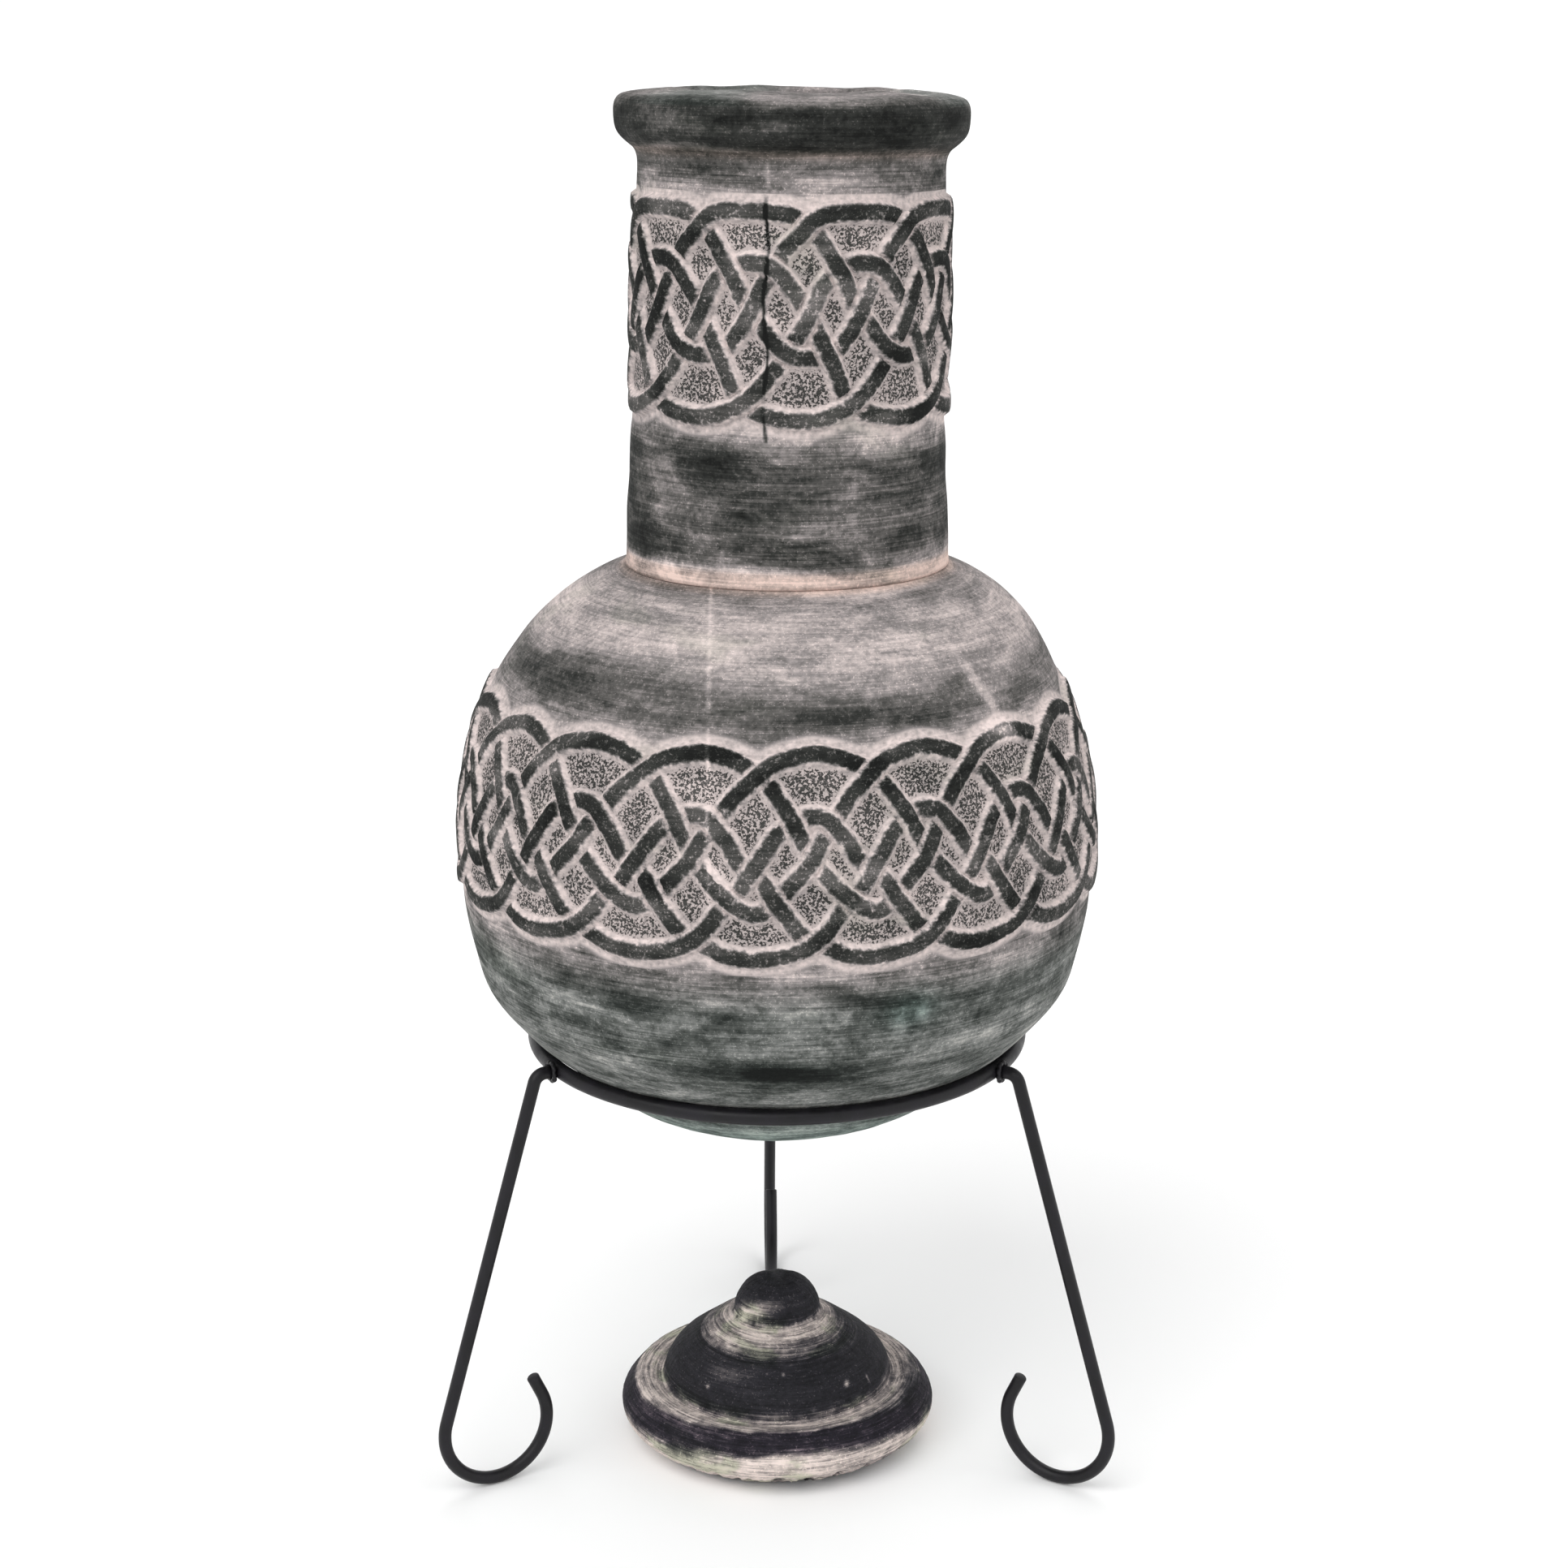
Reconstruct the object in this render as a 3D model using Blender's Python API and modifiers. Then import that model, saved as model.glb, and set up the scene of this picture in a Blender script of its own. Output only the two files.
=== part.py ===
"""A fired-clay chiminea standing in a three-legged rod stand, with its lid lying on the ground below it.

Metres, +Z up. The ground is z = 0 and the origin is the middle of the object's footprint. The clay's axis
stands a little to -Y of the origin, because the back leg (+Y) reaches further out than the clay does (-Y).
The fire mouth looks to +Y.
"""

import math

import bmesh
import bpy
from mathutils import Matrix, Vector

# ---------------------------------------------------------------- driving dimensions
HEIGHT = 1.050            # ground to the crest of the rim
FIT_GAP = 0.0003          # between pieces that touch

RING_RADIUS = 0.190       # stand ring, to the middle of its rod
RING_Z = 0.330
RING_ROD = 0.012          # rod diameters
LEG_ROD = 0.010
LEG_AZIMUTHS = {"leg_front_left": -60.0, "leg_front_right": 60.0, "leg_back": 181.5}  # degrees from -Y
LEG_BEND_RADIUS = 0.009   # where the short stub turns down
STUB_REACH = 0.0195       # ring's middle to the stub's corner
LEG_SPLAY = math.radians(17.0)
SCROLL_RADIUS = 0.043     # foot scroll, to the middle of the rod
SCROLL_END = math.radians(205.0)
SCROLL_TAIL = {"leg_front_left": 0.017, "leg_front_right": 0.017, "leg_back": 0.030}
WELD_RADIUS = 0.0015

BOWL_BASE_Z = 0.266       # flat bottom of the clay
BOWL_BASE_RADIUS = 0.062
SHOULDER_Z = 0.705        # where the neck is luted to the belly
BELLY_RADIUS = 0.2482     # over the knotwork
WALL = 0.018
BELLY_BAND = (0.466, 0.613)   # lower and upper edge of the knotwork
NECK_BAND = (0.805, 0.979)
BAND_RELIEF = 0.0044
NECK_SHIFT = 0.0076       # the neck stands off the belly's axis, to +X
SHIFT_START_Z = 0.600     # where the belly's top begins to follow it
NECK_LEAN = math.radians(0.73)
LEAN_LENGTH = 0.095       # height over which the neck's slices take up its lean
NECK_BORE = 0.1015        # radius of the flue at the shoulder
RIM_OPENING = 0.083       # radius of the flue at the rim's crest
RIM_CREST_WIDTH = 0.007

MOUTH_Z = 0.470           # fire mouth, in the +Y side
MOUTH_HALF_WIDTH = 0.108
MOUTH_HALF_HEIGHT = 0.090
MOUTH_ROLL = 0.013        # radius of the roll of clay round it
MOUTH_ROLL_LIFT = 0.003   # how far the roll's middle stands off the belly

LID_FORWARD = 0.029       # the lid's middle, to -Y of the clay's axis
LID_HEIGHT = 0.130
LID_RADIUS = 0.1255

TURN_STEPS = 56           # facets round the belly, a multiple of four
NECK_STEPS = 48
LID_STEPS = 48

# ---------------------------------------------------------------- worked out from them
LEG_FOOT_Z = SCROLL_RADIUS + LEG_ROD / 2
STUB_CORNER = RING_RADIUS + STUB_REACH
SCROLL_RHO = STUB_CORNER + (math.sin(LEG_SPLAY) * (RING_Z - LEG_FOOT_Z) - SCROLL_RADIUS) / math.cos(LEG_SPLAY)
LEG_REACH = SCROLL_RHO + SCROLL_RADIUS + LEG_ROD / 2
AXIS_Y = (BELLY_RADIUS - LEG_REACH) / 2    # puts the origin in the middle of the footprint


# ---------------------------------------------------------------- scene and materials
def clear_scene():
    for obj in list(bpy.data.objects):
        bpy.data.objects.remove(obj, do_unlink=True)


def new_collection(name):
    found = bpy.data.collections.new(name)
    bpy.context.scene.collection.children.link(found)
    return found


def new_material(name, color, roughness, metallic=0.0):
    found = bpy.data.materials.new(name)
    found.use_nodes = True
    shader = found.node_tree.nodes["Principled BSDF"]
    shader.inputs["Base Color"].default_value = (*color, 1.0)
    shader.inputs["Roughness"].default_value = roughness
    shader.inputs["Metallic"].default_value = metallic
    return found


def add_object(name, data, collection, material=None, parent=None):
    obj = bpy.data.objects.new(name, data)
    collection.objects.link(obj)
    obj.parent = parent
    if material:
        data.materials.append(material)
    return obj


def shade(mesh):
    mesh.shade_smooth()
    mesh.set_sharp_from_angle(angle=math.radians(35))


def evaluated_mesh(obj, name):
    """The mesh that an object's modifiers or bevel make, with the loose caps of a curve welded."""
    graph = bpy.context.evaluated_depsgraph_get()
    mesh = bpy.data.meshes.new_from_object(obj.evaluated_get(graph))
    mesh.name = name
    work = bmesh.new()
    work.from_mesh(mesh)
    bmesh.ops.remove_doubles(work, verts=work.verts, dist=1e-6)
    bmesh.ops.recalc_face_normals(work, faces=work.faces)
    work.to_mesh(mesh)
    work.free()
    return mesh


# ---------------------------------------------------------------- profiles
def smooth_line(stations, per_span=2):
    """A Catmull-Rom curve through (r, z) stations, with per_span pieces between each pair."""
    ends = [stations[0], *stations, stations[-1]]
    line = []
    for before, start, stop, after in zip(ends, ends[1:], ends[2:], ends[3:]):
        for step in range(per_span):
            t = step / per_span
            line.append(tuple(
                0.5 * (2 * b + (c - a) * t + (2 * a - 5 * b + 4 * c - d) * t * t
                       + (3 * b - a - 3 * c + d) * t ** 3)
                for a, b, c, d in zip(before, start, stop, after)
            ))
    return [*line, stations[-1]]


def smoothstep(low, high, value):
    t = min(1.0, max(0.0, (value - low) / (high - low)))
    return t * t * (3 - 2 * t)


def leaned(point):
    """Where a point of the straight clay goes: the shoulder drifts to +X, and the neck leans the same way."""
    x, y, z = point
    lean = NECK_LEAN * smoothstep(SHOULDER_Z, SHOULDER_Z + LEAN_LENGTH, z)
    drift = NECK_SHIFT * smoothstep(SHIFT_START_Z, SHOULDER_Z, z)
    drift += max(0.0, z - SHOULDER_Z) * math.tan(NECK_LEAN)
    return Vector((x + drift, y, z - x * math.tan(lean)))


def belly_outer():
    """The belly's outer line, shoulder to bottom, with the knotwork band standing proud."""
    low, high = BELLY_BAND
    shoulder = smooth_line([
        (0.1210, SHOULDER_Z - FIT_GAP), (0.1440, 0.6950), (0.1672, 0.6800), (0.1891, 0.6600),
        (0.2034, 0.6400), (0.2165, high + 0.004),
    ])
    band = smooth_line([(0.2215, high - 0.004), (0.2382, 0.5650), (0.2467, 0.5150), (BELLY_RADIUS, 0.4900),
                        (0.2478, low + 0.004)])
    bowl = smooth_line([
        (0.2436, low - 0.004), (0.2411, 0.4400), (0.2261, 0.3800), (0.2060, 0.3540), (0.1885, 0.3365),
        (0.1590, 0.3140), (0.1370, 0.2940), (0.1060, 0.2770), (BOWL_BASE_RADIUS, BOWL_BASE_Z),
    ])
    return [*shoulder, *band, *bowl, (0.0, BOWL_BASE_Z)]


def belly_inner():
    """The fire chamber's line, from the axis at the bottom up to the neck's opening."""
    return [
        (0.0, BOWL_BASE_Z + WALL), (0.0600, 0.2860), (0.1000, 0.2950), (0.1450, 0.3240), (0.1860, 0.3640),
        (0.2160, 0.4200), (0.2265, 0.4900), (0.2205, 0.5650), (0.1850, 0.6380), (0.1400, 0.6760),
        (NECK_BORE, SHOULDER_Z - FIT_GAP),
    ]


def neck_outer():
    """The neck's outer line, from the rim's crest to the joint with the belly."""
    low, high = NECK_BAND
    crest = [(RIM_OPENING, HEIGHT), (RIM_OPENING + RIM_CREST_WIDTH, HEIGHT)]
    rim = smooth_line([
        (0.1190, 1.0470), (0.1278, 1.0430), (0.1294, 1.0350), (0.1294, 1.0280), (0.1260, 1.0180),
        (0.1190, 1.0110), (0.1125, 1.0020), (0.1130, high + 0.003),
    ], 1)
    band = [(0.1130 + BAND_RELIEF, high - 0.002), (0.1165 + BAND_RELIEF, low + 0.002)]
    plain = [(0.1179, low - 0.004), (0.1183, 0.7720), (0.1202, 0.7480), (0.1210, SHOULDER_Z)]
    return [*crest, *rim, *band, *plain]


def neck_inner():
    """The flue's line, from the joint up to the rim's opening."""
    return [(NECK_BORE, SHOULDER_Z), (0.0985, 0.8000), (0.0945, 0.9900), (0.0915, 1.0200), (0.0860, 1.0400)]


def lid_line():
    """The lid's closed line: knob, dome, groove and rolled flange outside, then the hollow underside."""
    outside = [
        (0.0, LID_HEIGHT), (0.0150, 0.1275), (0.0262, 0.1210), (0.0325, 0.1120), (0.0340, 0.1040),
        (0.0385, 0.1000), (0.0480, 0.0945), (0.0640, 0.0825), (0.0800, 0.0705), (0.0885, 0.0600),
        (0.0915, 0.0500), (0.0935, 0.0462), (0.1020, 0.0478), (0.1110, 0.0460), (0.1195, 0.0375),
        (LID_RADIUS, 0.0290), (0.1225, 0.0190), (0.1120, 0.0085), (0.0990, 0.0),
    ]
    underside = [
        (0.0860, 0.0), (0.0840, 0.0200), (0.0780, 0.0420), (0.0660, 0.0600), (0.0420, 0.0760), (0.0, 0.0860),
    ]
    return [*outside, *underside]


def turned(name, line, steps):
    """The mesh of an (r, z) line turned round the Z axis. A line that doesn't end on the axis is closed."""
    work = bmesh.new()
    verts = [work.verts.new((r, 0.0, z)) for r, z in line]
    for start, stop in zip(verts, verts[1:]):
        work.edges.new((start, stop))
    if line[-1][0] > 0:
        work.edges.new((verts[-1], verts[0]))
    profile = bpy.data.meshes.new(name + "_profile")
    work.to_mesh(profile)
    work.free()
    guide = add_object(name + "_profile", profile, bpy.context.scene.collection)
    screw = guide.modifiers.new("turn", "SCREW")
    screw.steps = screw.render_steps = steps
    screw.use_merge_vertices = True
    screw.merge_threshold = 0.00001
    bpy.context.view_layer.update()
    mesh = evaluated_mesh(guide, name)
    bpy.data.objects.remove(guide)
    bpy.data.meshes.remove(profile)
    return mesh


def lean_mesh(mesh):
    for vert in mesh.vertices:
        vert.co = leaned(vert.co)


# ---------------------------------------------------------------- rods
def rod(name, path, radius, cyclic=False, resolution=2):
    """A curve object's data for a round rod along a path of points, with flat ends."""
    curve = bpy.data.curves.new(name, "CURVE")
    curve.dimensions = "3D"
    curve.bevel_depth = radius
    curve.bevel_resolution = resolution
    curve.use_fill_caps = not cyclic
    spline = curve.splines.new("POLY")
    spline.points.add(len(path) - 1)
    for point, place in zip(spline.points, path):
        point.co = (*place, 1.0)
    spline.use_cyclic_u = cyclic
    return curve


def arc(centre, radius, start, stop, count):
    """Points (rho, z) on an arc, with angles that grow from outward (+rho) to down (-z)."""
    angles = [start + (stop - start) * step / count for step in range(count + 1)]
    return [(centre[0] + radius * math.cos(a), centre[1] - radius * math.sin(a)) for a in angles]


def leg_path(tail):
    """A leg's middle line in its own upright plane: stub, bend, straight stem, scroll and tail."""
    turn = math.pi / 2 - LEG_SPLAY
    setback = LEG_BEND_RADIUS * math.tan(turn / 2)
    bend_middle = (STUB_CORNER - setback, RING_Z - LEG_BEND_RADIUS)
    bend = arc(bend_middle, LEG_BEND_RADIUS, -math.pi / 2, -LEG_SPLAY, 4)
    scroll = arc((SCROLL_RHO, LEG_FOOT_Z), SCROLL_RADIUS, -LEG_SPLAY, SCROLL_END, 20)
    rho, z = scroll[-1]
    end = (rho - tail * math.sin(SCROLL_END), z - tail * math.cos(SCROLL_END))
    start = (RING_RADIUS + RING_ROD / 2 + FIT_GAP, RING_Z)
    return [start, *bend, *scroll, end]


def turned_to(azimuth):
    """The matrix that carries the upright plane rho = -Y to an azimuth in degrees from -Y, towards +X."""
    return Matrix.Rotation(math.radians(azimuth), 4, "Z") @ Matrix.Rotation(math.radians(-90), 4, "Z")


def make_ring(parts, axis, iron):
    bpy.ops.mesh.primitive_torus_add(
        major_segments=64, minor_segments=12, major_radius=RING_RADIUS, minor_radius=RING_ROD / 2
    )
    ring = bpy.context.object
    ring.name = ring.data.name = "stand_ring"
    for found in list(ring.users_collection):
        found.objects.unlink(ring)
    parts.objects.link(ring)
    ring.parent = axis
    ring.location = (0.0, 0.0, RING_Z)
    ring.data.materials.append(iron)
    shade(ring.data)


def make_leg(name, azimuth, parts, axis, iron):
    """A leg, and the bead of weld round its stub where it meets the ring's outer side."""
    place = turned_to(azimuth)
    path = [Vector((rho, 0.0, z)) for rho, z in leg_path(SCROLL_TAIL[name])]
    leg = add_object(name, rod(name, path, LEG_ROD / 2), parts, iron, axis)
    leg.matrix_local = place
    bead_radius = LEG_ROD / 2 + WELD_RADIUS + FIT_GAP
    bead_rho = RING_RADIUS + RING_ROD / 2 + WELD_RADIUS + FIT_GAP
    bead = [
        Vector((bead_rho, bead_radius * math.cos(a), RING_Z + bead_radius * math.sin(a)))
        for a in (2 * math.pi * step / 16 for step in range(16))
    ]
    weld_name = name.replace("leg", "weld")
    weld = add_object(weld_name, rod(weld_name, bead, WELD_RADIUS, True, 1), parts, iron, axis)
    weld.matrix_local = place


# ---------------------------------------------------------------- clay
def belly_radius_at(z):
    """The belly's outer radius at a height, read off its line."""
    line = belly_outer()
    for (r_top, z_top), (r_low, z_low) in zip(line, line[1:]):
        if z_low <= z <= z_top:
            return r_low + (r_top - r_low) * (z - z_low) / (z_top - z_low)
    raise ValueError("the height isn't on the belly")


def mouth_path(count=40):
    """The middle of the mouth's roll of clay: an upright ellipse laid on the belly's surface."""
    path = []
    for step in range(count):
        turn = 2 * math.pi * step / count
        x = MOUTH_HALF_WIDTH * math.cos(turn)
        z = MOUTH_Z + MOUTH_HALF_HEIGHT * math.sin(turn)
        reach = belly_radius_at(z) + MOUTH_ROLL_LIFT
        path.append(Vector((x, math.sqrt(reach * reach - x * x), z)))
    return path


def as_cutter(name, mesh, cutters, axis):
    cutter = add_object(name, mesh, cutters, parent=axis)
    cutter.hide_render = True
    cutter.display_type = "WIRE"
    return cutter


def mouth_groove(cutters, axis):
    """The roll a fit gap larger, which seats the roll in the wall."""
    roll = rod("groove_path", mouth_path(), MOUTH_ROLL + FIT_GAP, True, 3)
    guide = add_object("groove_path", roll, cutters)
    bpy.context.view_layer.update()
    mesh = evaluated_mesh(guide, "mouth_groove")
    bpy.data.objects.remove(guide)
    return as_cutter("mouth_groove", mesh, cutters, axis)


def mouth_plug(cutters, axis):
    """An elliptical plug along +Y that opens the mouth through the wall."""
    start, depth = 0.10, 0.22
    mesh = bpy.data.meshes.new("mouth_plug")
    work = bmesh.new()
    bmesh.ops.create_cone(work, cap_ends=True, segments=40, radius1=1.0, radius2=1.0, depth=depth)
    place = (Matrix.Translation((0.0, start + depth / 2, MOUTH_Z)) @ Matrix.Rotation(math.radians(90), 4, "X")
             @ Matrix.Diagonal((MOUTH_HALF_WIDTH, MOUTH_HALF_HEIGHT, 1.0, 1.0)))
    bmesh.ops.transform(work, matrix=place, verts=work.verts)
    bmesh.ops.recalc_face_normals(work, faces=work.faces)
    work.to_mesh(mesh)
    work.free()
    return as_cutter("mouth_plug", mesh, cutters, axis)


def make_belly(parts, cutters, axis, clay):
    mesh = turned("belly", [*belly_inner(), *belly_outer()], TURN_STEPS)
    lean_mesh(mesh)
    shade(mesh)
    belly = add_object("belly", mesh, parts, clay, axis)
    for cutter in (mouth_plug(cutters, axis), mouth_groove(cutters, axis)):
        cut = belly.modifiers.new(cutter.name, "BOOLEAN")
        cut.operation = "DIFFERENCE"
        cut.solver = "EXACT"
        cut.object = cutter


def make_neck(parts, axis, clay):
    mesh = turned("neck", [*neck_outer(), *neck_inner()], NECK_STEPS)
    lean_mesh(mesh)
    shade(mesh)
    add_object("neck", mesh, parts, clay, axis)


def make_mouth_lip(parts, axis, clay):
    add_object("mouth_lip", rod("mouth_lip", mouth_path(), MOUTH_ROLL, True, 3), parts, clay, axis)


def make_lid(parts, axis, clay):
    mesh = turned("lid", lid_line(), LID_STEPS)
    shade(mesh)
    lid = add_object("lid", mesh, parts, clay, axis)
    lid.location = (0.0, -LID_FORWARD, 0.0)


def main():
    clear_scene()
    parts = new_collection("chiminea")
    cutters = new_collection("cutters")
    axis = add_object("clay_axis", None, parts)
    axis.location = (0.0, AXIS_Y, 0.0)
    clay = new_material("painted_clay", (0.10, 0.115, 0.11), 0.9)
    iron = new_material("black_painted_iron", (0.012, 0.012, 0.016), 0.45, 0.2)
    make_ring(parts, axis, iron)
    for name, azimuth in LEG_AZIMUTHS.items():
        make_leg(name, azimuth, parts, axis, iron)
    make_belly(parts, cutters, axis, clay)
    make_neck(parts, axis, clay)
    make_mouth_lip(parts, axis, clay)
    make_lid(parts, axis, clay)


main()
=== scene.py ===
"""The looks of the clay chiminea: brushed paint over knotwork in relief, on a stand of black iron rods.

Metres, +Z up. Angles round the clay are azimuths from -Y, growing towards +X. The fire mouth looks to +Y.
"""
import math

import bmesh
import bpy
import numpy as np
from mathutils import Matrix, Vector


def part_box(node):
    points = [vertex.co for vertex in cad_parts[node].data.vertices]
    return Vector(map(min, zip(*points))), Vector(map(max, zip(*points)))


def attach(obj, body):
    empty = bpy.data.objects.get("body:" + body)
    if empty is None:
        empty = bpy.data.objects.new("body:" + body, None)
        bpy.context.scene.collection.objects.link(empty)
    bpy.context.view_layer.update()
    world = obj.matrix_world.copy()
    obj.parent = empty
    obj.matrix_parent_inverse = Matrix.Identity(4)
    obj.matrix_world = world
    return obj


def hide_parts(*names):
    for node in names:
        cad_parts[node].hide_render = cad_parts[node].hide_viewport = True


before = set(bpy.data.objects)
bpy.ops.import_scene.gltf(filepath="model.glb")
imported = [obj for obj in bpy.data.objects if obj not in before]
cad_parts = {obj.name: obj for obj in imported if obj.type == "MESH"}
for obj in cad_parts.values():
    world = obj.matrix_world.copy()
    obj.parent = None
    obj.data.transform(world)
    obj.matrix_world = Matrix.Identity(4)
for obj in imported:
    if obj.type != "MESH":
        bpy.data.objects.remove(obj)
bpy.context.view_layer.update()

MM = 0.001

# ------------------------ places, from the frame
RING_LOW, RING_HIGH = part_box("stand_ring")
NECK_LOW, NECK_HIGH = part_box("neck")
LID_LOW, LID_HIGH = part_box("lid")
LIP_LOW, LIP_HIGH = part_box("mouth_lip")

AXIS_Y = (RING_LOW.y + RING_HIGH.y) / 2
RING_Z = (RING_LOW.z + RING_HIGH.z) / 2
RING_ROD = (RING_HIGH.z - RING_LOW.z) / 2
RING_RADIUS = RING_HIGH.x - RING_ROD
JOINT_Z = NECK_LOW.z                       # where the neck is luted to the belly
RIM_Z = NECK_HIGH.z - 1.1 * MM             # the rim's crest before the neck leans
BASE_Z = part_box("belly")[0].z
LID_Y = (LID_LOW.y + LID_HIGH.y) / 2
LID_TOP = LID_HIGH.z

NECK_SHIFT = 7.6 * MM                      # the neck stands off the belly's axis, to +X
SHIFT_START_Z = JOINT_Z - 105 * MM
NECK_LEAN = math.radians(0.73)
LEAN_LENGTH = 95 * MM
GAP = 0.3 * MM


# ------------------------ small tools
def smoothstep(low, high, value):
    t = np.clip((value - low) / (high - low), 0.0, 1.0)
    return t * t * (3 - 2 * t)


def smooth_line(stations, spacing):
    """Points about spacing apart on a Catmull-Rom curve through the stations, as an array."""
    points = np.array(stations, float)
    ends = np.vstack([2 * points[0] - points[1], points, 2 * points[-1] - points[-2]])
    line = []
    for a, b, c, d in zip(ends, ends[1:], ends[2:], ends[3:]):
        count = max(1, round(float(np.linalg.norm(c - b)) / spacing))
        t = (np.arange(count) / count)[:, None]
        line.append(0.5 * (2 * b + (c - a) * t + (2 * a - 5 * b + 4 * c - d) * t ** 2
                           + (3 * b - a - 3 * c + d) * t ** 3))
    return np.vstack([*line, points[-1:]])


def waves(seed, count, turns, heights):
    """A smooth random field of azimuth (radians) and height (metres),
    about -1 to 1, closed round the clay."""
    chance = np.random.default_rng(seed)
    around = chance.integers(-turns, turns + 1, count)
    upward = chance.uniform(-1, 1, count) * 2 * math.pi / heights
    phase = chance.uniform(0, 2 * math.pi, count)

    def field(azimuth, height):
        total = np.zeros(np.broadcast(azimuth, height).shape)
        for a, u, p in zip(around, upward, phase):
            total += np.cos(a * azimuth + u * height + p)
        return total / math.sqrt(count / 2) / 2
    return field


def bump_at(azimuth, height, centre, size, tilt=0.0):
    """A soft oval spot, 1 in its middle: centre and size are (degrees, metres)."""
    across = (np.degrees(azimuth) - centre[0]) / size[0]
    up = (height - centre[1]) / size[1]
    return np.exp(-((across + tilt * up) ** 2 + up ** 2))


def new_object(name, mesh):
    obj = bpy.data.objects.new(name, mesh)
    bpy.context.scene.collection.objects.link(obj)
    return obj


def mesh_of(name, verts, faces, attributes=None):
    mesh = bpy.data.meshes.new(name)
    mesh.from_pydata(np.asarray(verts).tolist(), [], faces)
    for key, values in (attributes or {}).items():
        found = mesh.attributes.new(key, "FLOAT", "POINT")
        found.data.foreach_set("value", np.asarray(values, np.float32))
    mesh.shade_smooth()
    mesh.update()
    return mesh


def finish_piece(obj, body, slot, material, *nodes):
    obj.data.materials.clear()
    obj.data.materials.append(material)
    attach(obj, body)
    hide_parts(*nodes)


# ------------------------ turned clay
class Turned:
    """A surface turned round the axis, row by row, whose rows may halve or double their columns."""

    def __init__(self, columns):
        self.columns = columns
        self.rows = []
        self.faces = []
        self.count = 0

    def add(self, line, divide=1):
        """Adds a row for each (r, z) of a line, with the finest column count divided by divide."""
        for r, z in line:
            self.add_row(r, z, divide)

    def add_row(self, r, z, divide):
        here = self.columns // divide
        start = self.count
        if self.rows:
            self.stitch(self.rows[-1], (start, here))
        self.rows.append((start, here, r, z))
        self.count += here

    def stitch(self, above, below):
        start_a, count_a = above[0], above[1]
        start_b, count_b = below
        if count_a == count_b:
            for j in range(count_a):
                k = (j + 1) % count_a
                self.faces.append((start_a + j, start_b + j, start_b + k, start_a + k))
            return
        many_above = count_a > count_b
        few, many = min(count_a, count_b), max(count_a, count_b)
        start_few, start_many = (start_b, start_a) if many_above else (start_a, start_b)
        each = many // few
        for j in range(few):
            k = (j + 1) % few
            chain = [start_many + (j * each + i) % many for i in range(each + 1)]
            half = each // 2
            fan = [(chain[i], start_few + (j if i < half else k), chain[i + 1]) for i in range(each)]
            fan.append((start_few + j, start_few + k, chain[half]))
            self.faces += fan if many_above else [face[::-1] for face in fan]

    def arrays(self):
        """Azimuth, radius, height and row number of every vertex."""
        azimuth = np.concatenate([2 * math.pi * np.arange(n) / n for _, n, _, _ in self.rows])
        radius = np.concatenate([np.full(n, r) for _, n, r, _ in self.rows])
        height = np.concatenate([np.full(n, z) for _, n, _, z in self.rows])
        row = np.concatenate([np.full(n, i) for i, (_, n, _, _) in enumerate(self.rows)])
        azimuth = np.where(azimuth > math.pi, azimuth - 2 * math.pi, azimuth)
        return azimuth, radius, height, row

    def heights(self):
        return np.array([z for _, _, _, z in self.rows])

    def capped(self, verts, values):
        """Closes the first and the last row with a fan each, and gives vertices, faces and attributes."""
        (first, many, _, _), (last, few, _, _) = self.rows[0], self.rows[-1]
        top, bottom = len(verts), len(verts) + 1
        faces = self.faces + [(first + (j + 1) % many, top, first + j) for j in range(many)]
        faces += [(last + j, bottom, last + (j + 1) % few) for j in range(few)]
        middles = [verts[first:first + many].mean(0), verts[last:last + few].mean(0)]
        values = {key: np.append(numbers, [numbers[first], numbers[last]]) for key, numbers in values.items()}
        return np.vstack([verts, middles]), faces, values

    def row_normals(self):
        """The outward direction (r, z) of each row, and the distance along the line."""
        line = np.array([(r, z) for _, _, r, z in self.rows])
        ahead = np.gradient(line, axis=0)
        length = np.hypot(ahead[:, 0], ahead[:, 1])
        length[length == 0] = 1
        normal = np.stack([-ahead[:, 1], ahead[:, 0]], 1) / length[:, None]
        along = np.concatenate([[0], np.cumsum(np.hypot(*np.diff(line, axis=0).T))])
        return normal, along


def placed(azimuth, radius, height, lean=True):
    """Where turned points go: the shoulder drifts to +X, and the neck leans the same way."""
    x, y = radius * np.sin(azimuth), -radius * np.cos(azimuth)
    if not lean:
        return np.stack([x, y + AXIS_Y, height], 1)
    tilt = NECK_LEAN * smoothstep(JOINT_Z, JOINT_Z + LEAN_LENGTH, height)
    drift = NECK_SHIFT * smoothstep(SHIFT_START_Z, JOINT_Z, height)
    drift = drift + np.maximum(0, height - JOINT_Z) * math.tan(NECK_LEAN)
    return np.stack([x + drift, y + AXIS_Y, height - x * np.tan(tilt)], 1)


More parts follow.
